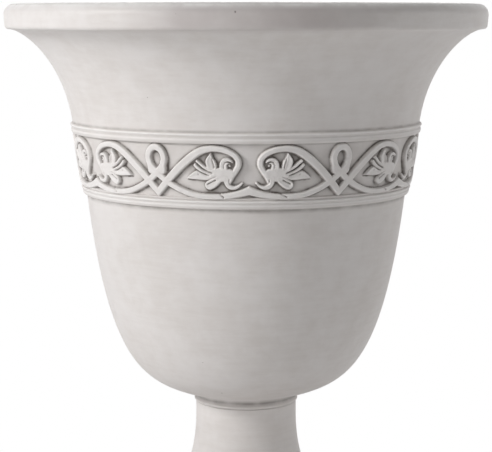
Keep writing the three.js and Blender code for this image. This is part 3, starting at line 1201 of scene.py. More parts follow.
@dataclass(frozen=True)
class Stroke:
    """One stroke of the carving, in millimetres on the band's face.

    Places are counted from the scroll's axis, which is 0, to the knot's axis, and up and
    down from the band's middle.
    """

    places: tuple[tuple[float, float, float], ...]
    height: float
    edge: float = 1.6
    hollow: float = 0
    rim: float = 1.2
    section: Section = Section.STRAP
    narrowest_top: float = 0.1
    narrowest_blade: float = 0.3
    ground: float = 0.05

    def raise_on(self, across: np.ndarray, up: np.ndarray, relief: np.ndarray, fillet: float) -> None:
        """Raises the stroke on the relief, in place.

        Args:
            across: Place of each point along the band.
            up: Place of each point up the band.
            relief: Height of each point, which is changed.
            fillet: How softly it runs into what is there.
        """
        line = spline(self.places)
        reach = line[:, 2].max() + fillet
        low = line[:, :2].min(0) - reach
        high = line[:, :2].max(0) + reach
        near = (across > low[0]) & (across < high[0]) & (up > low[1]) & (up < high[1])
        away, width, _ = nearest(line, across[near], up[near])
        inside = width - away
        top = self.height * np.sqrt(1 - (1 - np.clip(inside / self.edge, 0, 1)) ** 2)
        if self.section is Section.STRAP:
            middle = np.clip(away / np.maximum(width - self.edge, self.narrowest_top), 0, 1)
            top -= self.hollow * (1 - middle**2) * ease(inside / self.edge)
        else:
            blade = np.maximum(width - self.rim, self.narrowest_blade)
            top -= self.hollow * ease((inside - self.rim) / blade)
        top[inside <= 0] = 0
        there = relief[near]
        share = np.clip(0.5 + 0.5 * (there - top) / fillet, 0, 1)
        swell = fillet * share * (1 - share) * (top > self.ground)
        relief[near] = top * (1 - share) + there * share + swell


@dataclass(frozen=True)
class Groove:
    """A groove cut along a line, in millimetres on the band's face."""

    places: tuple[Place, ...]
    depth: float
    width: float = 0.6
    fade: float = 0.15

    def cut_in(self, across: np.ndarray, up: np.ndarray, relief: np.ndarray) -> None:
        """Cuts the groove into the relief, in place.

        Args:
            across: Place of each point along the band.
            up: Place of each point up the band.
            relief: Height of each point, which is changed.
        """
        line = spline([(*place, 1.0) for place in self.places])
        reach = 4 * self.width
        low = line[:, :2].min(0) - reach
        high = line[:, :2].max(0) + reach
        near = (across > low[0]) & (across < high[0]) & (up > low[1]) & (up < high[1])
        away, _, share = nearest(line, across[near], up[near])
        ends = ease(share / self.fade) * ease((1 - share) / self.fade)
        relief[near] -= self.depth * np.exp(-((away / self.width) ** 2)) * ends


FAR_AWAY = 1e9
NO_LENGTH = 1e-9


def nearest(line: np.ndarray, across: np.ndarray, up: np.ndarray) -> tuple[np.ndarray, ...]:
    """Measures points against a curve.

    Args:
        line: Rows of place along, place up and half-width.
        across: Place of each point along the band.
        up: Place of each point up the band.

    Returns:
        Each point's distance, the half-width at its foot, and the foot's share of the curve.
    """
    away = np.full(across.shape, FAR_AWAY)
    width = np.zeros(across.shape)
    share = np.zeros(across.shape)
    runs = np.hypot(*np.diff(line[:, :2], axis=0).T)
    travelled = np.concatenate([[0], np.cumsum(runs)])
    for index, run in enumerate(runs):
        if run < NO_LENGTH:
            continue
        start, stop = line[index], line[index + 1]
        step = (stop[:2] - start[:2]) / run
        foot = np.clip((across - start[0]) * step[0] + (up - start[1]) * step[1], 0, run)
        gap = np.hypot(across - start[0] - foot * step[0], up - start[1] - foot * step[1])
        closer = gap < away
        away[closer] = gap[closer]
        width[closer] = (start[2] + (stop[2] - start[2]) * foot / run)[closer]
        share[closer] = ((travelled[index] + foot) / travelled[-1])[closer]
    return away, width, share


def soften(heights: np.ndarray, reach: float) -> np.ndarray:
    """Blurs a grid of heights, reflecting it at its borders.

    Args:
        heights: Rows and columns of heights.
        reach: The blur's width in grid steps.

    Returns:
        The blurred grid.
    """
    span = int(reach * 3)
    weights = np.exp(-0.5 * (np.arange(-span, span + 1) / reach) ** 2)
    weights /= weights.sum()
    for axis in (0, 1):
        pads = [(0, 0), (0, 0)]
        pads[axis] = (span, span)
        padded = np.pad(heights, pads, mode="reflect")
        heights = np.apply_along_axis(np.convolve, axis, padded, weights, "valid")
    return heights


@dataclass
class CarvedFrieze:
    """The band of scrolls, palmettes and knots, cast as six equal panels on the bowl's bed."""

    bowl: BowlCasting
    panel_count: int = 6
    first_scroll: float = 1.05
    lap_below: float = 3.0
    lap_above: float = 1.0
    back: float = 1.5
    relief: float = 4.7
    strap_edge: float = 2.0
    strap_hollow: float = 0.05
    strap_swell: float = 0.35
    strap_fillet: float = 0.7
    leaf_fillet: float = 0.5
    crack_depth: float = 2.4
    crack_width: float = 0.6
    waver: float = 0.07
    tool_round: float = 0.55
    nominal_radius: float = 192.0
    columns: int = 448
    rows: int = 136
    left_crack: tuple[Place, ...] = ((-33.6, -23.1), (-29.4, -26.4), (-25.8, -29.8))
    right_crack: tuple[Place, ...] = ((31.4, -24.1), (36.4, -26.5), (41.4, -29.4))
    scroll_strap: tuple = (
        (-21.6, -13.0, 2.6), (-18.6, -7.0, 2.9), (-14.6, -1.2, 3.0), (-11.4, 5.0, 3.0),
        (-12.0, 11.4, 3.0), (-16.4, 16.4, 3.0), (-23.5, 20.2, 3.1), (-31.5, 22.1, 3.1),
        (-40.5, 22.3, 3.4), (-50.0, 19.8, 3.9), (-59.5, 14.0, 4.2), (-69.0, 6.4, 4.3),
        (-78.0, -1.8, 4.3), (-86.0, -9.8, 4.2), (-92.5, -16.6, 4.0), (-97.0, -21.4, 3.9),
        (-101.5, -26.0, 3.8),
    )
    cusp_strap: tuple = (
        (3.5, -20.2, 4.7), (-3.5, -22.8, 4.2), (-12.0, -25.2, 3.6), (-22.0, -27.2, 3.2),
        (-35.0, -28.4, 3.1), (-50.0, -28.0, 3.1), (-63.0, -25.6, 3.1), (-75.5, -21.0, 3.2),
    )
    loop_strap: tuple = (
        (-75.5, -21.0, 3.2), (-86.0, -15.4, 3.4), (-94.0, -9.8, 3.6), (-100.5, -4.2, 3.7),
        (-105.5, 0.6, 3.6), (-108.8, 6.0, 3.6), (-109.8, 11.8, 3.6), (-108.2, 17.6, 3.6),
        (-104.4, 21.6, 3.6), (-100.5, 22.7, 3.6), (-96.6, 21.6, 3.6),
    )

    @property
    def half_length(self) -> float:
        """Half a panel's length, in millimetres at the band's nominal radius."""
        return self.nominal_radius * math.pi / self.panel_count

    def straps(self) -> list[Stroke]:
        """The interlaced straps, the knot and its far side.

        Returns:
            The strokes.
        """
        axis = -2 * self.half_length
        far_loop = tuple((axis - along, up, half) for along, up, half in self.loop_strap)
        knot = ((-103.0, -3.4, 3.3), (-98.0, -3.4, 3.3))
        shoulder = ((-92.3, 7.0, 3.6), (-93.0, 2.5, 3.7), (-93.5, -2.2, 3.8))
        far_shoulder = tuple((axis - along, up, half) for along, up, half in shoulder)
        strands = (self.scroll_strap, self.cusp_strap, self.loop_strap, far_loop)
        lines = (*strands, knot, shoulder, far_shoulder)
        wide = [tuple((x, y, half + self.strap_swell) for x, y, half in line) for line in lines]
        return [Stroke(line, self.relief, self.strap_edge, self.strap_hollow) for line in wide]

    def palmette(self) -> list[Stroke]:
        """The palmette's heart, its curl and its leaves.

        Returns:
            The strokes.
        """
        full = self.relief + 0.1
        leaf = Section.LEAF
        heart = ((-41.0, -3.6, 4.6), (-34.0, -4.6, 7.2), (-27.0, -4.8, 7.6), (-21.0, -4.2, 6.0))
        curl = ((-27.6, -0.5, 3.1), (-28.0, 5.4, 3.0), (-26.0, 9.6, 2.7), (-21.9, 10.9, 2.1),
                (-18.6, 9.7, 1.6), (-17.4, 8.3, 1.0))
        inner_curl = ((-24.0, 1.5, 1.9), (-24.2, 5.2, 1.7), (-22.8, 7.3, 1.4), (-20.9, 7.2, 0.9))
        eye = ((-20.5, 4.7, 1.35), (-20.3, 4.6, 1.35))
        crown = ((-37.4, -1.0, 4.4), (-39.0, 4.6, 5.5), (-40.4, 9.6, 5.2), (-40.3, 13.0, 3.3),
                 (-39.5, 17.8, 0.5))
        finger = ((-36.5, -1.8, 2.0), (-42.8, 0.6, 2.1), (-47.2, 3.3, 2.1), (-51.2, 6.7, 2.1),
                  (-54.2, 9.2, 1.9))
        low_finger = ((-37.0, -5.6, 2.3), (-44.3, -2.7, 2.4), (-49.2, -0.9, 2.4), (-53.4, 1.9, 2.4),
                      (-56.4, 5.0, 2.2))
        side = ((-38.0, -6.2, 4.4), (-46.0, -5.9, 5.2), (-53.5, -5.5, 5.2), (-60.0, -7.0, 3.4),
                (-66.4, -9.3, 0.4))
        low_leaf = ((-32.0, -9.4, 4.4), (-37.0, -13.4, 5.2), (-41.0, -15.6, 5.3), (-41.8, -16.0, 5.2))
        tendril = ((-24.0, -8.0, 3.0), (-23.2, -13.2, 3.2), (-20.6, -17.2, 2.9), (-16.0, -18.5, 2.3),
                   (-11.4, -17.0, 1.8), (-7.4, -13.6, 1.1))
        return [
            Stroke(heart, full - 0.05, 1.6),
            Stroke(curl, full, 1.4, 0.3),
            Stroke(inner_curl, full - 0.2, 1.3),
            Stroke(eye, full - 0.7, 1.35),
            Stroke(crown, full, 1.5, 0.7, 1.2, leaf),
            Stroke(side, full - 0.5, 1.6, 0.6, 1.2, leaf),
            Stroke(low_finger, full - 0.2, 1.7),
            Stroke(finger, full, 1.5),
            Stroke(low_leaf, full, 1.8, 0.6, 1.4, leaf),
            Stroke(tendril, full, 1.5, 0.15),
        ]

    def grooves(self) -> list[Groove]:
        """The lines cut between the palmette's leaves and along them.

        Returns:
            The grooves.
        """
        return [
            Groove(((-55.9, 7.9), (-52.3, 4.6), (-48.4, 1.3), (-43.8, -1.2), (-36.6, -3.9)), 2.6, 0.8),
            Groove(((-57.2, 1.4), (-52.6, -1.4), (-47.0, -4.0), (-40.0, -6.4)), 2.2, 0.8),
            Groove(((-38.8, 14.0), (-37.5, 8.8), (-36.5, 5.1), (-35.9, 1.2)), 2.0, 0.8),
            Groove(((-44.8, -15.4), (-39.6, -12.8), (-34.0, -9.8)), 2.2, 0.7),
            Groove(((-20.6, -8.6), (-20.9, -12.2), (-19.4, -16.2)), 1.3, 0.6),
            Groove(((-26.0, 1.0), (-26.3, 5.6), (-24.2, 8.7), (-20.4, 9.0)), 1.3, 0.5),
            Groove(((-43.4, -10.6), (-38.6, -8.6), (-33.6, -7.0)), 1.0, 0.6),
            Groove(((-53.9, -4.8), (-52.9, -4.6)), 1.2, 0.8),
        ]

    def cracks(self) -> list[Groove]:
        """Two short cracks that the mould has left across the lower straps near its ends.

        Returns:
            The cracks as grooves.
        """
        left = tuple((self.half_length + along, up) for along, up in self.left_crack)
        right = tuple((along - self.half_length, up) for along, up in self.right_crack)
        return [Groove(places, self.crack_depth, self.crack_width) for places in (left, right)]

    def carve(self, across: np.ndarray, up: np.ndarray) -> np.ndarray:
        """The relief's height over the band's ground.

        Args:
            across: Place along the band from the knot's axis, on a grid.
            up: Place up the band from its middle, on the same grid.

        Returns:
            The heights in millimetres.
        """
        from_scroll = np.abs(across) - self.half_length
        relief = np.zeros(across.shape)
        for stroke in self.straps():
            stroke.raise_on(from_scroll, up, relief, self.strap_fillet)
        for stroke in self.palmette():
            stroke.raise_on(from_scroll, up, relief, self.leaf_fillet)
        for groove in self.grooves():
            groove.cut_in(from_scroll, up, relief)
        for crack in self.cracks():
            crack.cut_in(across, up, relief)
        wander = np.sin(across * 0.61 + 1.3 * np.sin(up * 0.37)) * np.sin(up * 0.53 + 0.7)
        raised = relief > 0.2
        return soften(np.maximum(relief, 0) + self.waver * wander * raised, self.tool_round)

    def tint(self, heights: np.ndarray, pitch: float) -> tuple[np.ndarray, np.ndarray]:
        """Works out where the antique wash and painted shade darken the hollows and the ground under the
        straps, and where the ridges are rubbed bright.

        Args:
            heights: The relief's heights on the grid, in millimetres.
            pitch: The grid's step up the band, in millimetres.

        Returns:
            The wash with its painted shade, and the wear, of each point, as shares.
        """
        fine = soften(heights, 1.6 / pitch)
        broad = soften(heights, 4.5 / pitch)
        overhang = round(1.3 / pitch)
        above = np.roll(heights, -overhang, axis=0)
        above[-overhang:] = 0
        # The hollows darken: antique wash, deepened as painted shade.
        wash_and_shade = 0.75 * np.clip((fine - heights - 0.15) / 1.4, 0, 1)
        wash_and_shade += 0.65 * np.clip((broad - heights - 0.7) / 2.7, 0, 1)
        # Painted shade on the ground just under each strap's lower edge.
        wash_and_shade += 0.75 * np.clip((above - heights - 0.6) / 2.2, 0, 1)
        wash_and_shade += 0.08 * (1 - np.clip(heights / 1.5, 0, 1))
        wear = 0.5 * ease((heights - 2.4) / 1.6) + 0.5 * np.clip((heights - fine) / 1.3 - 0.08, 0, 1)
        return np.clip(wash_and_shade, 0, 0.9), wear

    def slab(self) -> Piece:
        """Carves one panel flat, as a closed slab in millimetres, with its wash, painted shade and wear.

        Returns:
            The slab.
        """
        put_down_all()
        bpy.ops.mesh.primitive_grid_add(x_subdivisions=self.columns, y_subdivisions=self.rows, size=1)
        piece = name_new("frieze_panel_1")
        places = points_of(piece)
        low = -self.bowl.frieze_height / MM / 2 - self.lap_below
        high = self.bowl.frieze_height / MM / 2 + self.lap_above
        column = np.rint((places[:, 0] + 0.5) * self.columns).astype(int)
        row = np.rint((places[:, 1] + 0.5) * self.rows).astype(int)
        across = np.linspace(-self.half_length, self.half_length, self.columns + 1)
        up = np.linspace(low, high, self.rows + 1)
        grid_across, grid_up = np.meshgrid(across, up)
        heights = self.carve(grid_across, grid_up)
        wash_and_shade, wear = self.tint(heights, up[1] - up[0])
        places[:, 0] = across[column]
        places[:, 1] = up[row]
        places[:, 2] = heights[row, column]
        move_points(piece, places)
        write_values(piece, "wash_and_shade", wash_and_shade[row, column])
        write_values(piece, "wear", wear[row, column])
        self.back_up(piece, low, high)
        return piece

    def back_up(self, piece: Piece, low: float, high: float) -> None:
        """Gives the flat panel its edges and its back.

        Args:
            piece: The carved grid.
            low: Place of its lower border.
            high: Place of its upper border.
        """
        take_up(piece)
        bpy.ops.object.mode_set(mode="EDIT")
        bpy.ops.mesh.select_mode(type="VERT")
        bpy.ops.mesh.select_all(action="DESELECT")
        bpy.ops.object.mode_set(mode="OBJECT")
        places = points_of(piece)
        border = (places[:, 1] < low + ON_BORDER) | (places[:, 1] > high - ON_BORDER)
        piece.data.vertices.foreach_set("select", border)
        bpy.ops.object.mode_set(mode="EDIT")
        bpy.ops.mesh.extrude_edges_move(TRANSFORM_OT_translate={"value": (0, 0, -self.back)})
        bpy.ops.transform.resize(value=(1, 1, 0), center_override=(0, 0, -self.back))
        bpy.ops.mesh.bridge_edge_loops()
        bpy.ops.mesh.select_all(action="DESELECT")
        bpy.ops.object.mode_set(mode="OBJECT")
        for end in (-self.half_length, self.half_length):
            places = points_of(piece)
            piece.data.vertices.foreach_set("select", np.abs(places[:, 0] - end) < ON_BORDER)
            bpy.ops.object.mode_set(mode="EDIT")
            bpy.ops.mesh.select_mode(type="VERT")
            bpy.ops.mesh.edge_face_add()
            bpy.ops.mesh.select_all(action="DESELECT")
            bpy.ops.object.mode_set(mode="OBJECT")

    def wrap(self, piece: Piece) -> None:
        """Bends the flat panel round the bowl, its middle to the front.

        Args:
            piece: The flat panel.
        """
        places = points_of(piece)
        share = places[:, 1] * MM / self.bowl.frieze_height + 0.5
        low, top = self.bowl.frieze_bottom_radius, self.bowl.frieze_top_radius
        radius = low + (top - low) * share + places[:, 2] * MM
        azimuth = places[:, 0] / self.nominal_radius + FRONT_AZIMUTH
        middle = self.bowl.base + self.bowl.frieze_bottom + self.bowl.frieze_height / 2
        height = middle + places[:, 1] * MM
        columns = [radius * np.cos(azimuth), radius * np.sin(azimuth), height]
        move_points(piece, np.column_stack(columns))

    def build(self, material: Material) -> list[Piece]:
        """Carves a panel, bends it and sets six of it round the bowl.

        Args:
            material: The panels' finish.

        Returns:
            The panels.
        """
        panel = self.slab()
        self.wrap(panel)
        close_up(panel)
        smooth(panel, 80)
        turn = math.tau / self.panel_count
        first = math.radians(self.first_scroll) - turn / 2
        panels = [panel]
        for index in range(1, self.panel_count):
            move = Matrix.Rotation(index * turn, 4, "Z")
            panels.append(own_copy(panel, f"frieze_panel_{index + 1}", move))
        for piece in panels:
            piece.data.transform(Matrix.Rotation(first, 4, "Z"))
            fit_in(piece, "urn", material, ("bowl",))
        return panels


# Pedestal casting


@dataclass
class PedestalCasting:
    """The trumpet stem with its torus on a square plinth, hollow from below."""

    base: float
    height: float = 0.1856
    wall: float = 0.009
    neck_radius: float = 0.0584
    neck_height: float = 0.0126
    deck_thickness: float = 0.014
    bolt_hole_radius: float = 0.006
    rim_radius: float = 0.057
    rim_height: float = 0.0032
    trumpet_spread: float = 0.04
    fillet_proud: float = 0.007
    fillet_height: float = 0.006
    torus_radius: float = 0.128
    torus_height: float = 0.028
    plinth_side: float = 0.29
    plinth_height: float = 0.045
    plinth_edge: float = 0.003
    plinth_corner: float = 0.005
    plinth_wall: float = 0.013
    plinth_top: float = 0.012
    pad_inset: float = 0.017
    pad_radius: float = 0.01
    pad_margin: float = 0.002
    overlap: float = 0.004
    rim_edge: float = 0.0005
    turn_steps: int = 160

    @property
    def torus_top(self) -> float:
        """Height of the torus's top."""
        return self.plinth_height + self.torus_height

    def trumpet(self, steps: int) -> list[Place]:
        """The stem's outer curve, a quarter ellipse from the fillet up to the neck.

        Args:
            steps: Number of chords.

        Returns:
            The curve's points.
        """
        centre = self.neck_radius + self.trumpet_spread
        neck_bottom = self.height - self.neck_height
        rise = neck_bottom - self.torus_top - self.fillet_height
        points = []
        for angle in np.radians(np.linspace(270, 180, steps + 1)):
            place = (centre + self.trumpet_spread * math.cos(angle), neck_bottom + rise * math.sin(angle))
            points.append(place)
        return points

    def stem(self) -> Piece:
        """The solid stem above the plinth.

        Returns:
            The stem.
        """
        half = self.torus_height / 2
        centre = (self.torus_radius - half, self.plinth_height + half)
        fillet = self.neck_radius + self.trumpet_spread + self.fillet_proud
        edge = self.rim_edge
        sunk = self.plinth_height - self.overlap
        outline = [
            (0, sunk),
            (centre[0], sunk),
            *arc(centre, half, -90, 90, 22),
            (fillet, self.torus_top),
            (fillet, self.torus_top + self.fillet_height - edge),
            (fillet - edge, self.torus_top + self.fillet_height),
            *self.trumpet(36),
            (self.neck_radius, self.height + self.rim_height - edge),
            (self.neck_radius - edge, self.height + self.rim_height),
            (self.rim_radius, self.height + self.rim_height),
            (self.rim_radius, self.height),
            (0, self.height),
        ]
        lifted = [(radius, height + self.base) for radius, height in outline]
        return turned("pedestal_casting", lifted, self.turn_steps)

    def hollow(self) -> Piece:
        """The solid that cuts the stem hollow up to the deck, and the bolt's hole through the deck.

        Returns:
            The solid.
        """
        trumpet = offset_inward(self.trumpet(30), self.wall)
        deck = self.height - self.deck_thickness
        inner = [place for place in trumpet if place[1] < deck]
        torus_hollow = self.torus_radius - self.torus_height / 2 - self.wall
        torus_ceiling = self.torus_top - self.wall
        low = self.plinth_height - self.plinth_top - self.overlap
        outline = [
            (0, low),
            (torus_hollow, low),
            (torus_hollow, torus_ceiling),
            (inner[0][0], torus_ceiling),
            *inner,
            (inner[-1][0], deck),
            (self.bolt_hole_radius, deck),
            (self.bolt_hole_radius, self.height + MM),
            (0, self.height + MM),
        ]
        return turned("stem_hollow", [(r, h + self.base) for r, h in outline], self.turn_steps)

    def block(
        self, name: str, side: float, corner: float, edge: float, low: float, top: float
    ) -> Piece:
        """A square block with rounded upright corners and eased level edges.

        Args:
            name: The block's name.
            side: Its side.
            corner: Radius of its upright corners.
            edge: Radius of its level edges, or 0.
            low: Height of its bottom.
            top: Height of its top.

        Returns:
            The block.
        """
        put_down_all()
        place = (0, 0, self.base + (low + top) / 2)
        bpy.ops.mesh.primitive_cube_add(size=1, location=place, scale=(side, side, top - low))
        piece = name_new(name)
        settle(piece)
        bpy.ops.object.mode_set(mode="EDIT")
        bpy.ops.mesh.select_mode(type="EDGE")
        bpy.ops.mesh.select_all(action="DESELECT")
        bpy.ops.object.mode_set(mode="OBJECT")
        points = piece.data.vertices
        for line in piece.data.edges:
            low_end, top_end = (points[index].co for index in line.vertices)
            line.select = abs(low_end.z - top_end.z) > (top - low) / 2
        bpy.ops.object.mode_set(mode="EDIT")
        bpy.ops.mesh.bevel(offset=corner, segments=10, affect="EDGES")
        bpy.ops.object.mode_set(mode="OBJECT")
        if edge > 0:
            ease_edges(piece, edge, 4)
        return piece

    def build(
        self, outside: Material, inside: Material, tools: Piece
    ) -> Piece:
        """Joins stem and plinth, hollows them, drills the deck and dresses the casting.

        Args:
            outside: Finish of its outer faces.
            inside: Finish of its hollow.
            tools: The cylinders that cut the drain ports.

        Returns:
            The pedestal.
        """
        piece = self.stem()
        plinth = self.block(
            "plinth", self.plinth_side, self.plinth_corner, self.plinth_edge, 0, self.plinth_height
        )
        combine(piece, plinth, "UNION")
        combine(piece, self.hollow(), "DIFFERENCE")
        side = self.plinth_side - 2 * self.plinth_wall
        pad_place = self.plinth_side / 2 - self.pad_inset
        gap = (side / 2 - pad_place) * math.sqrt(2) + self.pad_radius + self.pad_margin
        corner = gap / (math.sqrt(2) - 1)
        ceiling = self.plinth_height - self.plinth_top
        hollow = self.block("plinth_hollow", side, corner, 0, -self.overlap, ceiling)
        combine(piece, hollow, "DIFFERENCE")
        combine(piece, tools, "DIFFERENCE")
        piece.data.materials.append(outside)
        piece.data.materials.append(inside)
        self.line_inside(piece)
        smooth(piece, 28)
        fit_in(piece, "urn", outside, ("pedestal",))
        return piece

    def line_inside(self, piece: Piece) -> None:
        """Gives the faces of the hollow the inner finish.

        Args:
            piece: The pedestal.
        """
        half = self.plinth_side / 2 - self.plinth_wall + MM
        ceiling = self.height - self.deck_thickness + MM
        torus_skin = self.torus_radius - self.wall + MM
        for face in piece.data.polygons:
            centre = face.center
            out = Vector((centre.x, centre.y, 0)).normalized()
            height = centre.z - self.base
            within = max(abs(centre.x), abs(centre.y)) < half and MM / 2 < height < ceiling
            turned_in = face.normal.dot(out) < -0.05 or face.normal.z < -0.5
            on_torus = centre.to_2d().length > torus_skin and height > self.plinth_height
            face.material_index = 1 if within and turned_in and not on_torus else 0


# Fittings


def ring(
    name: str, inner: float, outer: float, low: float, top: float, edge: float, sweep: float = 360
) -> Piece:
    """A flat ring with eased edges.

    Args:
        name: The ring's name.
        inner: Radius of its hole.
        outer: Its outer radius.
        low: Height of its underside.
        top: Height of its top.
        edge: Radius of its outer edges; the hole's edges have half of it.
        sweep: How far it goes round, in degrees.

    Returns:
        The ring.
    """
    small = edge / 2
    outline = [
        *arc((inner + small, low + small), small, 180, 270, 2),
        *arc((outer - edge, low + edge), edge, -90, 0, 4),
        *arc((outer - edge, top - edge), edge, 0, 90, 4),
        *arc((inner + small, top - small), small, 90, 180, 2),
        (inner, low + small),
    ]
    return turned(name, outline, 72, sweep)


def plate(name: str, outline: Sequence[Place], thickness: float) -> Piece:
    """A plate that stands in the XZ plane.

    Args:
        name: The plate's name.
        outline: X and height of its corners, in order.
        thickness: Its thickness along Y.

    Returns:
        The plate.
    """
    piece = drawn(name, outline, -thickness / 2)
    bpy.ops.object.mode_set(mode="EDIT")
    bpy.ops.mesh.edge_face_add()
    bpy.ops.mesh.extrude_region_move(TRANSFORM_OT_translate={"value": (0, thickness, 0)})
    bpy.ops.object.mode_set(mode="OBJECT")
    close_up(piece)
    return piece


def close_ends(piece: Piece) -> None:
    """Puts a face over each open end of a swept piece.

    Args:
        piece: The piece.
    """
    take_up(piece)
    bpy.ops.object.mode_set(mode="EDIT")
    bpy.ops.mesh.select_all(action="SELECT")
    bpy.ops.mesh.fill_holes(sides=0)
    bpy.ops.object.mode_set(mode="OBJECT")
    close_up(piece)


def set_out(
    model: Piece,
    nodes: Sequence[str],
    name: str,
    seat: float,
    bodies: Sequence[str],
    material: Material,
) -> None:
    """Copies a small rubber piece to each of its solids' places, and clears the model off.

    Args:
        model: The piece, standing on height 0 on the axis.
        nodes: The solids that the copies stand for.
        name: The copies' name, before their number.
        seat: Height that they are set at.
        bodies: The body that each copy rides on.
        material: Their finish.
    """
    for index, (node, body) in enumerate(zip(nodes, bodies), 1):
        low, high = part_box(node)
        place = ((low.x + high.x) / 2, (low.y + high.y) / 2, seat)
        piece = own_copy(model, f"{name}_{index}", Matrix.Translation(place))
        fit_in(piece, body, material, (node,))
    bpy.data.objects.remove(model)


@dataclass(frozen=True)
class TieBolt:
    """The hexagon bolt that holds the bowl down on the pedestal's deck."""

    head_across: float = 0.017
    head_height: float = 0.0064
    head_edge: float = 0.00025
    head_flat_share: float = 0.47
    shank_radius: float = 0.005
    thread_root: float = 0.00415
    thread_length: float = 0.026
    pitch: float = 0.0015
    ridge_share: float = 0.42
    ridge_sunk: float = 0.0002
    crest_shy: float = 0.00005
    tip_chamfer: float = 0.001

    def head(self, top: float) -> Piece:
        """The hexagon, turned off round at its upper corners.

        Args:
            top: Height of its top.

        Returns:
            The head.
        """
        put_down_all()
        place = (0, 0, top - self.head_height / 2)
        corners = self.head_across / math.sqrt(3)
        bpy.ops.mesh.primitive_cylinder_add(
            vertices=6, radius=corners, depth=self.head_height, location=place
        )
        piece = name_new("hex_bolt")
        settle(piece)
        low = top - self.head_height
        flat = self.head_across * self.head_flat_share
        drop = (corners + MM - flat) * math.tan(math.radians(30))
        cone = [(0, low - MM), (corners + MM, low - MM), (corners + MM, top - drop), (flat, top), (0, top)]
        combine(piece, turned("head_cone", cone, 64), "INTERSECT")
        ease_edges(piece, self.head_edge, 2, 0.4)
        return piece

    def thread(self, low: float) -> Piece:
        """The ridge of the thread, as one helix.

        Args:
            low: Height of the bolt's end.

        Returns:
            The helix.
        """
        root, crest = self.thread_root - self.ridge_sunk, self.shank_radius - self.crest_shy
        half = self.pitch * self.ridge_share
        start = low + self.tip_chamfer + half
        corners = [(root, start - half), (crest, start - half / 6), (crest, start + half / 6),
                   (root, start + half)]
        piece = drawn("bolt_thread", [*corners, corners[0]])
        close_up(piece)
        turns = int((self.thread_length - self.tip_chamfer - self.pitch) / self.pitch)
        add_modifier(
            piece, "SCREW", axis="Z", screw_offset=self.pitch, iterations=turns, steps=28,
            render_steps=28, use_normal_calculate=True,
        )
        close_ends(piece)
        return piece

    def build(self, zinc: Material) -> Piece:
        """Makes the bolt and dresses it.

        Args:
            zinc: Its finish.

        Returns:
            The bolt.
        """
        low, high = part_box("tie_bolt")
        piece = self.head(high.z)
        under = high.z - self.head_height
        runout = low.z + self.thread_length
        shank = [
            (0, low.z),
            (self.thread_root - self.tip_chamfer, low.z),
            (self.thread_root, low.z + self.tip_chamfer),
            (self.thread_root, runout),
            (self.shank_radius, runout + self.pitch / 2),
            (self.shank_radius, under + MM),
            (0, under + MM),
        ]
        combine(piece, turned("bolt_shank", shank, 56), "UNION")
        combine(piece, self.thread(low.z), "UNION")
        smooth(piece, 32)
        fit_in(piece, "urn", zinc, ("tie_bolt",))
        return piece


@dataclass(frozen=True)
class WingNut:
    """The wing nut under the deck, turned by hand from below."""

    bore: float = 0.0053
    face_radius: float = 0.009
    end_radius: float = 0.0074
    height: float = 0.009
    setback: float = 0.001
    wing_width: float = 0.008
    wing_thickness: float = 0.0032
    wing_edge: float = 0.0009
    chamfer: float = 0.0006
    end_round: float = 0.001

    def wing(self, face: float, reach: float, low: float) -> Piece:
        """One wing, which sweeps out and down from the hub to a round tip.

        Args:
            face: Height of the nut's bearing face.
            reach: How far its tip stands out from the axis.
            low: Height of its lowest point.

        Returns:
            The wing.
        """
        half = self.wing_width / 2
        tip = (reach - half, low + half)
        root = self.bore + self.setback
        top = face - self.setback
        bottom = face - self.height + self.setback
        upper = bezier((root, top), (root + 0.006, top), (reach - 0.0005, top - 0.0025), (reach, tip[1]), 10)
        under = bezier((tip[0] - half, tip[1]), (tip[0] - half, tip[1] + 0.003), (root + 0.004, bottom),
                       (root, bottom), 8)
        outline = [*upper, *arc(tip, half, 0, -180, 14)[1:], *under[1:]]
        piece = plate("wing", outline, self.wing_thickness)
        ease_edges(piece, self.wing_edge, 3)
        return piece

    def build(self, zinc: Material) -> Piece:
        """Makes the nut and dresses it.

        Args:
            zinc: Its finish.

        Returns:
            The nut.
        """
        low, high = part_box("wing_nut")
        face = high.z
        bottom = face - self.height
        chamfer, end_round = self.chamfer, self.end_round
        hub = [
            (self.bore, bottom + chamfer),
            (self.bore + chamfer, bottom),
            *arc((self.end_radius - end_round, bottom + end_round), end_round, -90, -10, 4),
            *arc((self.face_radius - chamfer, face - chamfer), chamfer, 0, 90, 3),
            (self.bore + chamfer, face),
            (self.bore, face - chamfer),
            (self.bore, bottom + chamfer),
        ]
        piece = turned("wing_nut_forged", hub, 64)
        wing = self.wing(face, high.x, low.z)
        far_wing = own_copy(wing, "far_wing", Matrix.Rotation(math.pi, 4, "Z"))
        combine(piece, wing, "UNION")
        combine(piece, far_wing, "UNION")
        smooth(piece, 35)
        fit_in(piece, "urn", zinc, ("wing_nut",))
        return piece


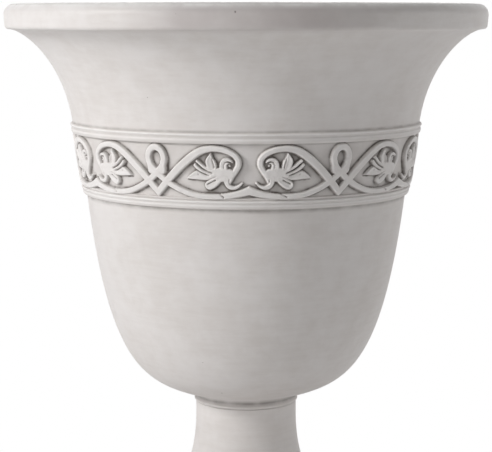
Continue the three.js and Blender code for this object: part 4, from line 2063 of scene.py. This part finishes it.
@dataclass(frozen=True)
class Washers:
    """The flat rings between bowl, deck, bolt and nut, and the split spring washer."""

    bore: float = 0.0053
    gasket_inner: float = 0.044
    seal_edge: float = 0.0007
    flat_edge: float = 0.0004
    lock_edge: float = 0.0003
    lock_gap: float = 14

    def build(self, zinc: Material, rubber: Material) -> None:
        """Makes the rings and dresses them.

        Args:
            zinc: Finish of the steel rings.
            rubber: Finish of the seal and the gasket.
        """
        rings = (
            ("bolt_seal", "sealing_ring", self.bore, self.seal_edge, Slot.RUBBER, rubber),
            ("bolt_washer", "penny_washer_above", self.bore, self.flat_edge, Slot.ZINC, zinc),
            ("deck_washer", "penny_washer_below", self.bore, self.flat_edge, Slot.ZINC, zinc),
            ("joint_gasket", "gasket_ring", self.gasket_inner, self.flat_edge, Slot.RUBBER, rubber),
        )
        for node, name, inner, edge, slot, material in rings:
            low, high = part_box(node)
            piece = ring(name, inner, high.x, low.z, high.z, edge)
            smooth(piece, 35)
            fit_in(piece, "urn", material, (node,))
        low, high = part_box("lock_washer")
        sweep = 360 - self.lock_gap
        piece = ring("spring_washer", self.bore, high.y, low.z, high.z, self.lock_edge, sweep)
        close_ends(piece)
        piece.data.transform(Matrix.Rotation(math.radians(self.lock_gap / 2), 4, "Z"))
        smooth(piece, 35)
        fit_in(piece, "urn", zinc, ("lock_washer",))


@dataclass(frozen=True)
class DrainPlugs:
    """The four moulded rubber plugs, which pull up out of the drain holes."""

    count: int = 4
    flange_radius: float = 0.011
    flange_height: float = 0.003
    flange_edge: float = 0.0009
    groove: Place = (0.0056, 0.0074)
    groove_depth: float = 0.0005
    groove_slope: float = 0.0004
    shank_radius: float = 0.0066
    tip_taper: float = 0.0012
    tip_chamfer: float = 0.0012
    bead_round: float = 0.001
    bead_proud: float = 0.0002
    bead_depths: tuple[float, ...] = (0.0035, 0.0075)
    neck_radius: float = 0.0028
    neck_round: float = 0.001
    grip_radius: float = 0.004
    grip_round: float = 0.0012

    def outline(self, depth: float, top: float) -> list[Place]:
        """Half the plug's section, from its tip up to its grip, with the seat at height 0.

        Args:
            depth: Length of the shank.
            top: Height of the grip's top.

        Returns:
            Radius and height of the outline's points.
        """
        tip = self.shank_radius - self.tip_taper
        beads = []
        for bead_depth in reversed(self.bead_depths):
            centre = (self.shank_radius + self.bead_proud - self.bead_round, -bead_depth)
            beads.extend(arc(centre, self.bead_round, -37, 37, 5))
        edge, collar = self.flange_edge, self.flange_height
        rim = self.flange_radius - edge
        groove_low, groove_high = self.groove
        head = (top + collar) / 2 + self.grip_round
        neck_round = self.neck_round
        return [
            (0, -depth),
            (tip - self.tip_chamfer, -depth),
            (tip, -depth + self.tip_chamfer),
            (self.shank_radius, -depth / 2 - 2 * MM),
            *beads,
            (self.shank_radius, 0),
            (rim, 0),
            (self.flange_radius, edge / 2),
            *arc((rim, collar - edge), edge, 0, 90, 5),
            (groove_high + self.groove_slope, collar),
            (groove_high, collar - self.groove_depth),
            (groove_low, collar - self.groove_depth),
            (groove_low - self.groove_slope, collar),
            (self.neck_radius + neck_round, collar),
            (self.neck_radius, collar + neck_round),
            (self.neck_radius, head - neck_round),
            *arc((self.grip_radius - self.grip_round, head), self.grip_round, -90, 0, 4),
            *bezier((self.grip_radius, head + 0.0004), (self.grip_radius, top - 0.0006),
                    (self.grip_radius * 0.7, top), (0, top), 8),
        ]

    def build(self, rubber: Material) -> None:
        """Makes one plug, copies it into each hole and dresses the four.

        Args:
            rubber: Their finish.
        """
        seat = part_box("bolt_seal")[0].z
        low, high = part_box("drain_plug_1")
        model = turned("plug_model", self.outline(seat - low.z, high.z - seat), 56)
        smooth(model, 40)
        nodes = [f"drain_plug_{index}" for index in range(1, self.count + 1)]
        set_out(model, nodes, "rubber_plug", seat, nodes, rubber)


@dataclass(frozen=True)
class FootPads:
    """The four round rubber pads under the plinth's corners."""

    count: int = 4
    cup_radius: float = 0.0055
    cup_depth: float = 0.0006
    cup_slope: float = 0.0006
    edge: float = 0.001
    top_edge: float = 0.0003

    def build(self, rubber: Material) -> None:
        """Makes one pad, copies it to each corner and dresses the four.

        Args:
            rubber: Their finish.
        """
        low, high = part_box("foot_pad_1")
        radius = (high.x - low.x) / 2
        outline = [
            (0, self.cup_depth),
            (self.cup_radius - self.cup_slope, self.cup_depth),
            (self.cup_radius, 0),
            *arc((radius - self.edge, self.edge), self.edge, -90, 0, 4),
            (radius, high.z - self.top_edge),
            (radius - self.top_edge, high.z),
            (0, high.z),
        ]
        model = turned("pad_model", outline, 48)
        smooth(model, 35)
        nodes = [f"foot_pad_{index}" for index in range(1, self.count + 1)]
        set_out(model, nodes, "rubber_pad", 0, ["urn"] * self.count, rubber)


# Studio


@dataclass(frozen=True)
class Lamp:
    """A square soft light that faces the urn's middle.

    Its azimuth is in degrees, 0 in front of the urn and 90 at its right. Its height is
    its angle above the level, and its power is in watts.
    """

    name: str
    azimuth: float
    height: float
    power: float
    size: float = 1.5


@dataclass(frozen=True)
class Studio:
    """The floor, the lights, the surroundings and the camera of the photograph."""

    lens: float = 117.07
    camera_distance: float = 1.8355
    camera_height: float = 0.6365
    camera_tilt: float = 7.48
    lamp_distance: float = 2.4
    lamps: tuple[Lamp, ...] = (
        Lamp("key_light", azimuth=-61, height=25, power=25.5, size=0.45),
        Lamp("low_key_light", azimuth=-42, height=5, power=14),
        Lamp("fill_light", azimuth=90, height=5, power=12),
        Lamp("back_light", azimuth=180, height=35, power=14),
    )
    sky_level: float = 0.17
    floor_side: float = 24
    shadow_reach: float = 0.2
    white_reach: float = 0.46
    white_near: float = 0.25
    floor_tones: Place = (0.86, 0.9)
    floor_roughness: float = 0.9
    aim_height: float = 0.4
    nearest_seen: float = 0.05

    def camera(self) -> None:
        """Puts the camera where the photograph's was."""
        put_down_all()
        turn = (math.radians(90 - self.camera_tilt), 0, 0)
        place = (0, -self.camera_distance, self.camera_height)
        bpy.ops.object.camera_add(location=place, rotation=turn)
        camera = bpy.context.object
        camera.name = "camera"
        camera.data.lens = self.lens
        camera.data.sensor_width = 36
        camera.data.clip_start = self.nearest_seen
        bpy.context.scene.camera = camera

    def hang(self, lamp: Lamp) -> None:
        """Hangs a lamp.

        Args:
            lamp: The lamp.
        """
        put_down_all()
        side, up = math.radians(lamp.azimuth), math.radians(lamp.height)
        middle = Vector((0, 0, self.aim_height))
        back = Vector((math.sin(side) * math.cos(up), -math.cos(side) * math.cos(up), math.sin(up)))
        turn = back.to_track_quat("Z", "Y").to_euler()
        place = middle + back * self.lamp_distance
        bpy.ops.object.light_add(type="AREA", location=place, rotation=turn)
        light = bpy.context.object
        light.name = lamp.name
        light.data.size = lamp.size
        light.data.energy = lamp.power

    def seen(self, graph: Graph) -> object:
        """Tells the rays that come from the camera, straight or by way of a mirror or glass.

        Args:
            graph: The nodes to add to.

        Returns:
            1 for such a ray, 0 for any other.
        """
        rays = graph.add("LightPath").outputs
        seen = graph.maths("MAXIMUM", rays["Is Camera Ray"], rays["Is Glossy Ray"])
        return graph.maths("MAXIMUM", seen, rays["Is Transmission Ray"])

    def floor(self) -> None:
        """Lays a pale floor that keeps the urn's shadow and is white to the camera further out."""
        put_down_all()
        bpy.ops.mesh.primitive_plane_add(size=self.floor_side, location=(0, 0, 0))
        floor = name_new("studio_floor")
        material, graph, shader = new_material("studio_floor")
        vector = graph.add("TexCoord").outputs["Object"]
        tone = graph.noise(vector, scale=2, detail=3)
        dull, pale = self.floor_tones
        colour = graph.blend(tone, (dull, dull, dull, 1), (pale, pale, pale, 1))
        graph.feed(shader, {"Base Color": colour, "Roughness": self.floor_roughness})
        away = graph.add("VectorMath", {0: vector}, operation="LENGTH").outputs["Value"]
        far = graph.remap(away, (self.shadow_reach, self.white_reach), (self.white_near, 1))
        white = graph.add("Emission", {"Color": (1, 1, 1, 1), "Strength": 1.0})
        share = graph.product(self.seen(graph), far)
        mixed = graph.add("MixShader", {0: share, 1: shader.outputs[0], 2: white.outputs[0]})
        output = graph.tree.nodes["Material Output"]
        graph.tree.links.new(mixed.outputs[0], output.inputs["Surface"])
        floor.data.materials.append(material)

    def sky(self) -> None:
        """Surrounds the scene with an even light that the camera sees as white."""
        world = bpy.data.worlds.new("surroundings")
        world.use_nodes = True
        bpy.context.scene.world = world
        graph = Graph(world.node_tree)
        seen = self.seen(graph)
        soft = graph.add("Background", {"Color": (1, 1, 1, 1), "Strength": self.sky_level})
        white = graph.add("Background", {"Color": (1, 1, 1, 1), "Strength": 1.0})
        mixed = graph.add("MixShader", {0: seen, 1: soft.outputs[0], 2: white.outputs[0]})
        graph.add("OutputWorld", {"Surface": mixed.outputs[0]})

    def build(self) -> None:
        """Sets up the whole studio."""
        self.camera()
        for lamp in self.lamps:
            self.hang(lamp)
        self.floor()
        self.sky()
        bpy.context.scene.view_settings.view_transform = "Standard"


@dataclass(frozen=True)
class Patina:
    """Where the outside's wash and painted shade darken it, where painted highlights brighten it and where
    it is chipped.
    """

    bowl: BowlCasting
    pedestal: PedestalCasting
    lip_blur: float = 0.006

    def lip_stain_and_shade(self) -> Place:
        """The two heights between which the lip's stain and its painted shade set in.

        Returns:
            The lower and the upper height.
        """
        lip = self.bowl.base + self.bowl.height - self.bowl.lip_height
        return lip - self.lip_blur, lip + self.lip_blur

    def dirt_and_shade_seams(self) -> tuple[Seam, ...]:
        """The creases darkened with wash and painted shade, from the top down.

        Returns:
            The creases.
        """
        bowl, pedestal = self.bowl, self.pedestal
        upper, shoulder = bowl.base + bowl.frieze_top, bowl.base + bowl.shoulder
        torus_top = pedestal.base + pedestal.torus_top
        return (
            Seam(0.198, bowl.base + bowl.upper_bead_top, 0.003, 0.45),
            Seam(0.1989, upper + 0.005, 0.0013, 0.18),
            # Painted shade under the upper bead's edge, with dirt.
            Seam(0.1948, upper - bowl.moulding_overhang, 0.0036, 0.6),
            Seam(0.187, shoulder + 0.0094, 0.0015, 0.3),
            Seam(0.1871, shoulder + 0.005, 0.0013, 0.12),
            # Painted shade under the lowest bead's edge, with dirt.
            Seam(0.1824, shoulder - 0.002, 0.0042, 0.55),
            # Painted shadow of the belly's overhang on the foot, with dirt in the cove.
            Seam(0.0588, bowl.base + 0.0092, 0.0052, 0.75),
            Seam(0.0584, bowl.base + 0.0019, 0.0016, 0.3),
            Seam(0.0984, torus_top + pedestal.fillet_height, 0.006, 0.35),
            Seam(0.1054, torus_top, 0.006, 0.45),
            Seam(0.118, pedestal.base + pedestal.plinth_height, 0.012, 0.5),
        )

    def highlight_lines(self) -> tuple[Seam, ...]:
        """The proud lines painted bright as highlights, from the top down.

        Returns:
            The lines.
        """
        bowl = self.bowl
        upper, shoulder = bowl.base + bowl.frieze_top, bowl.base + bowl.shoulder
        return (
            # Painted highlight on the lip's top rounding, which faces up to the light.
            Seam(0.2684, bowl.base + bowl.height - 0.0024, 0.0065, 1.0),
            Seam(0.2005, upper + 0.0084, 0.0017, 0.9),
            Seam(0.1994, upper + 0.003, 0.0016, 0.5),
            Seam(0.1885, shoulder + 0.0078, 0.0016, 0.9),
            Seam(0.1872, shoulder + 0.0035, 0.0018, 0.6),
        )

    def chips(self) -> tuple[Chip, ...]:
        """The chips in the lip, the flare and the belly.

        Returns:
            The chips.
        """
        return (
            Chip(-14.5, 0.272, 0.6385, 0.0011), Chip(-2.2, 0.2725, 0.6405, 0.0012),
            Chip(-41.0, 0.233, 0.605, 0.0014), Chip(-29.5, 0.2065, 0.553, 0.0009),
            Chip(24.0, 0.2, 0.52, 0.0008), Chip(118, 0.24, 0.611, 0.0013),
            Chip(171, 0.205, 0.55, 0.001), Chip(-104, 0.2145, 0.57, 0.0012),
            Chip(203, 0.163, 0.34, 0.0013), Chip(74, 0.171, 0.37, 0.0009),
        )


def main() -> None:
    """Builds the urn's pieces in order and sets up the studio."""
    logging.basicConfig(level=logging.INFO, format="%(message)s")
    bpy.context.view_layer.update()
    effects = Effects()
    bowl = BowlCasting(base=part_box("bowl")[0].z)
    pedestal = PedestalCasting(base=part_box("pedestal")[0].z)
    patina = Patina(bowl, pedestal)
    outside = StoneFinish(
        "antiqued_stone",
        lip_rise=patina.lip_stain_and_shade(),
        dirt_and_shade_seams=patina.dirt_and_shade_seams(),
        highlight_lines=patina.highlight_lines(),
        chips=patina.chips(),
    ).make(effects)
    inside = StoneFinish(
        "rough_stone",
        light=(0.62, 0.6, 0.57, 1),
        dark=(0.44, 0.42, 0.39, 1),
        roughness=0.8,
        brush_share=0.12,
        pinhole_share=0.2,
        pinhole_size=0.3,
        bump_depth=0.0016,
    ).make(effects)
    bowl.build(outside, inside)
    CarvedFrieze(bowl).build(outside)
    deck_tools = bowl.drain_tools()
    deck_tools.data.transform(Matrix.Translation((0, 0, -bowl.floor)))
    pedestal.build(outside, inside, deck_tools)
    zinc = ZINC_PLATE.make(effects)
    rubber = MOULDED_RUBBER.make(effects)
    TieBolt().build(zinc)
    WingNut().build(zinc)
    Washers().build(zinc, rubber)
    DrainPlugs().build(rubber)
    FootPads().build(rubber)
    Studio().build()


if __name__ == "__main__":
    main()
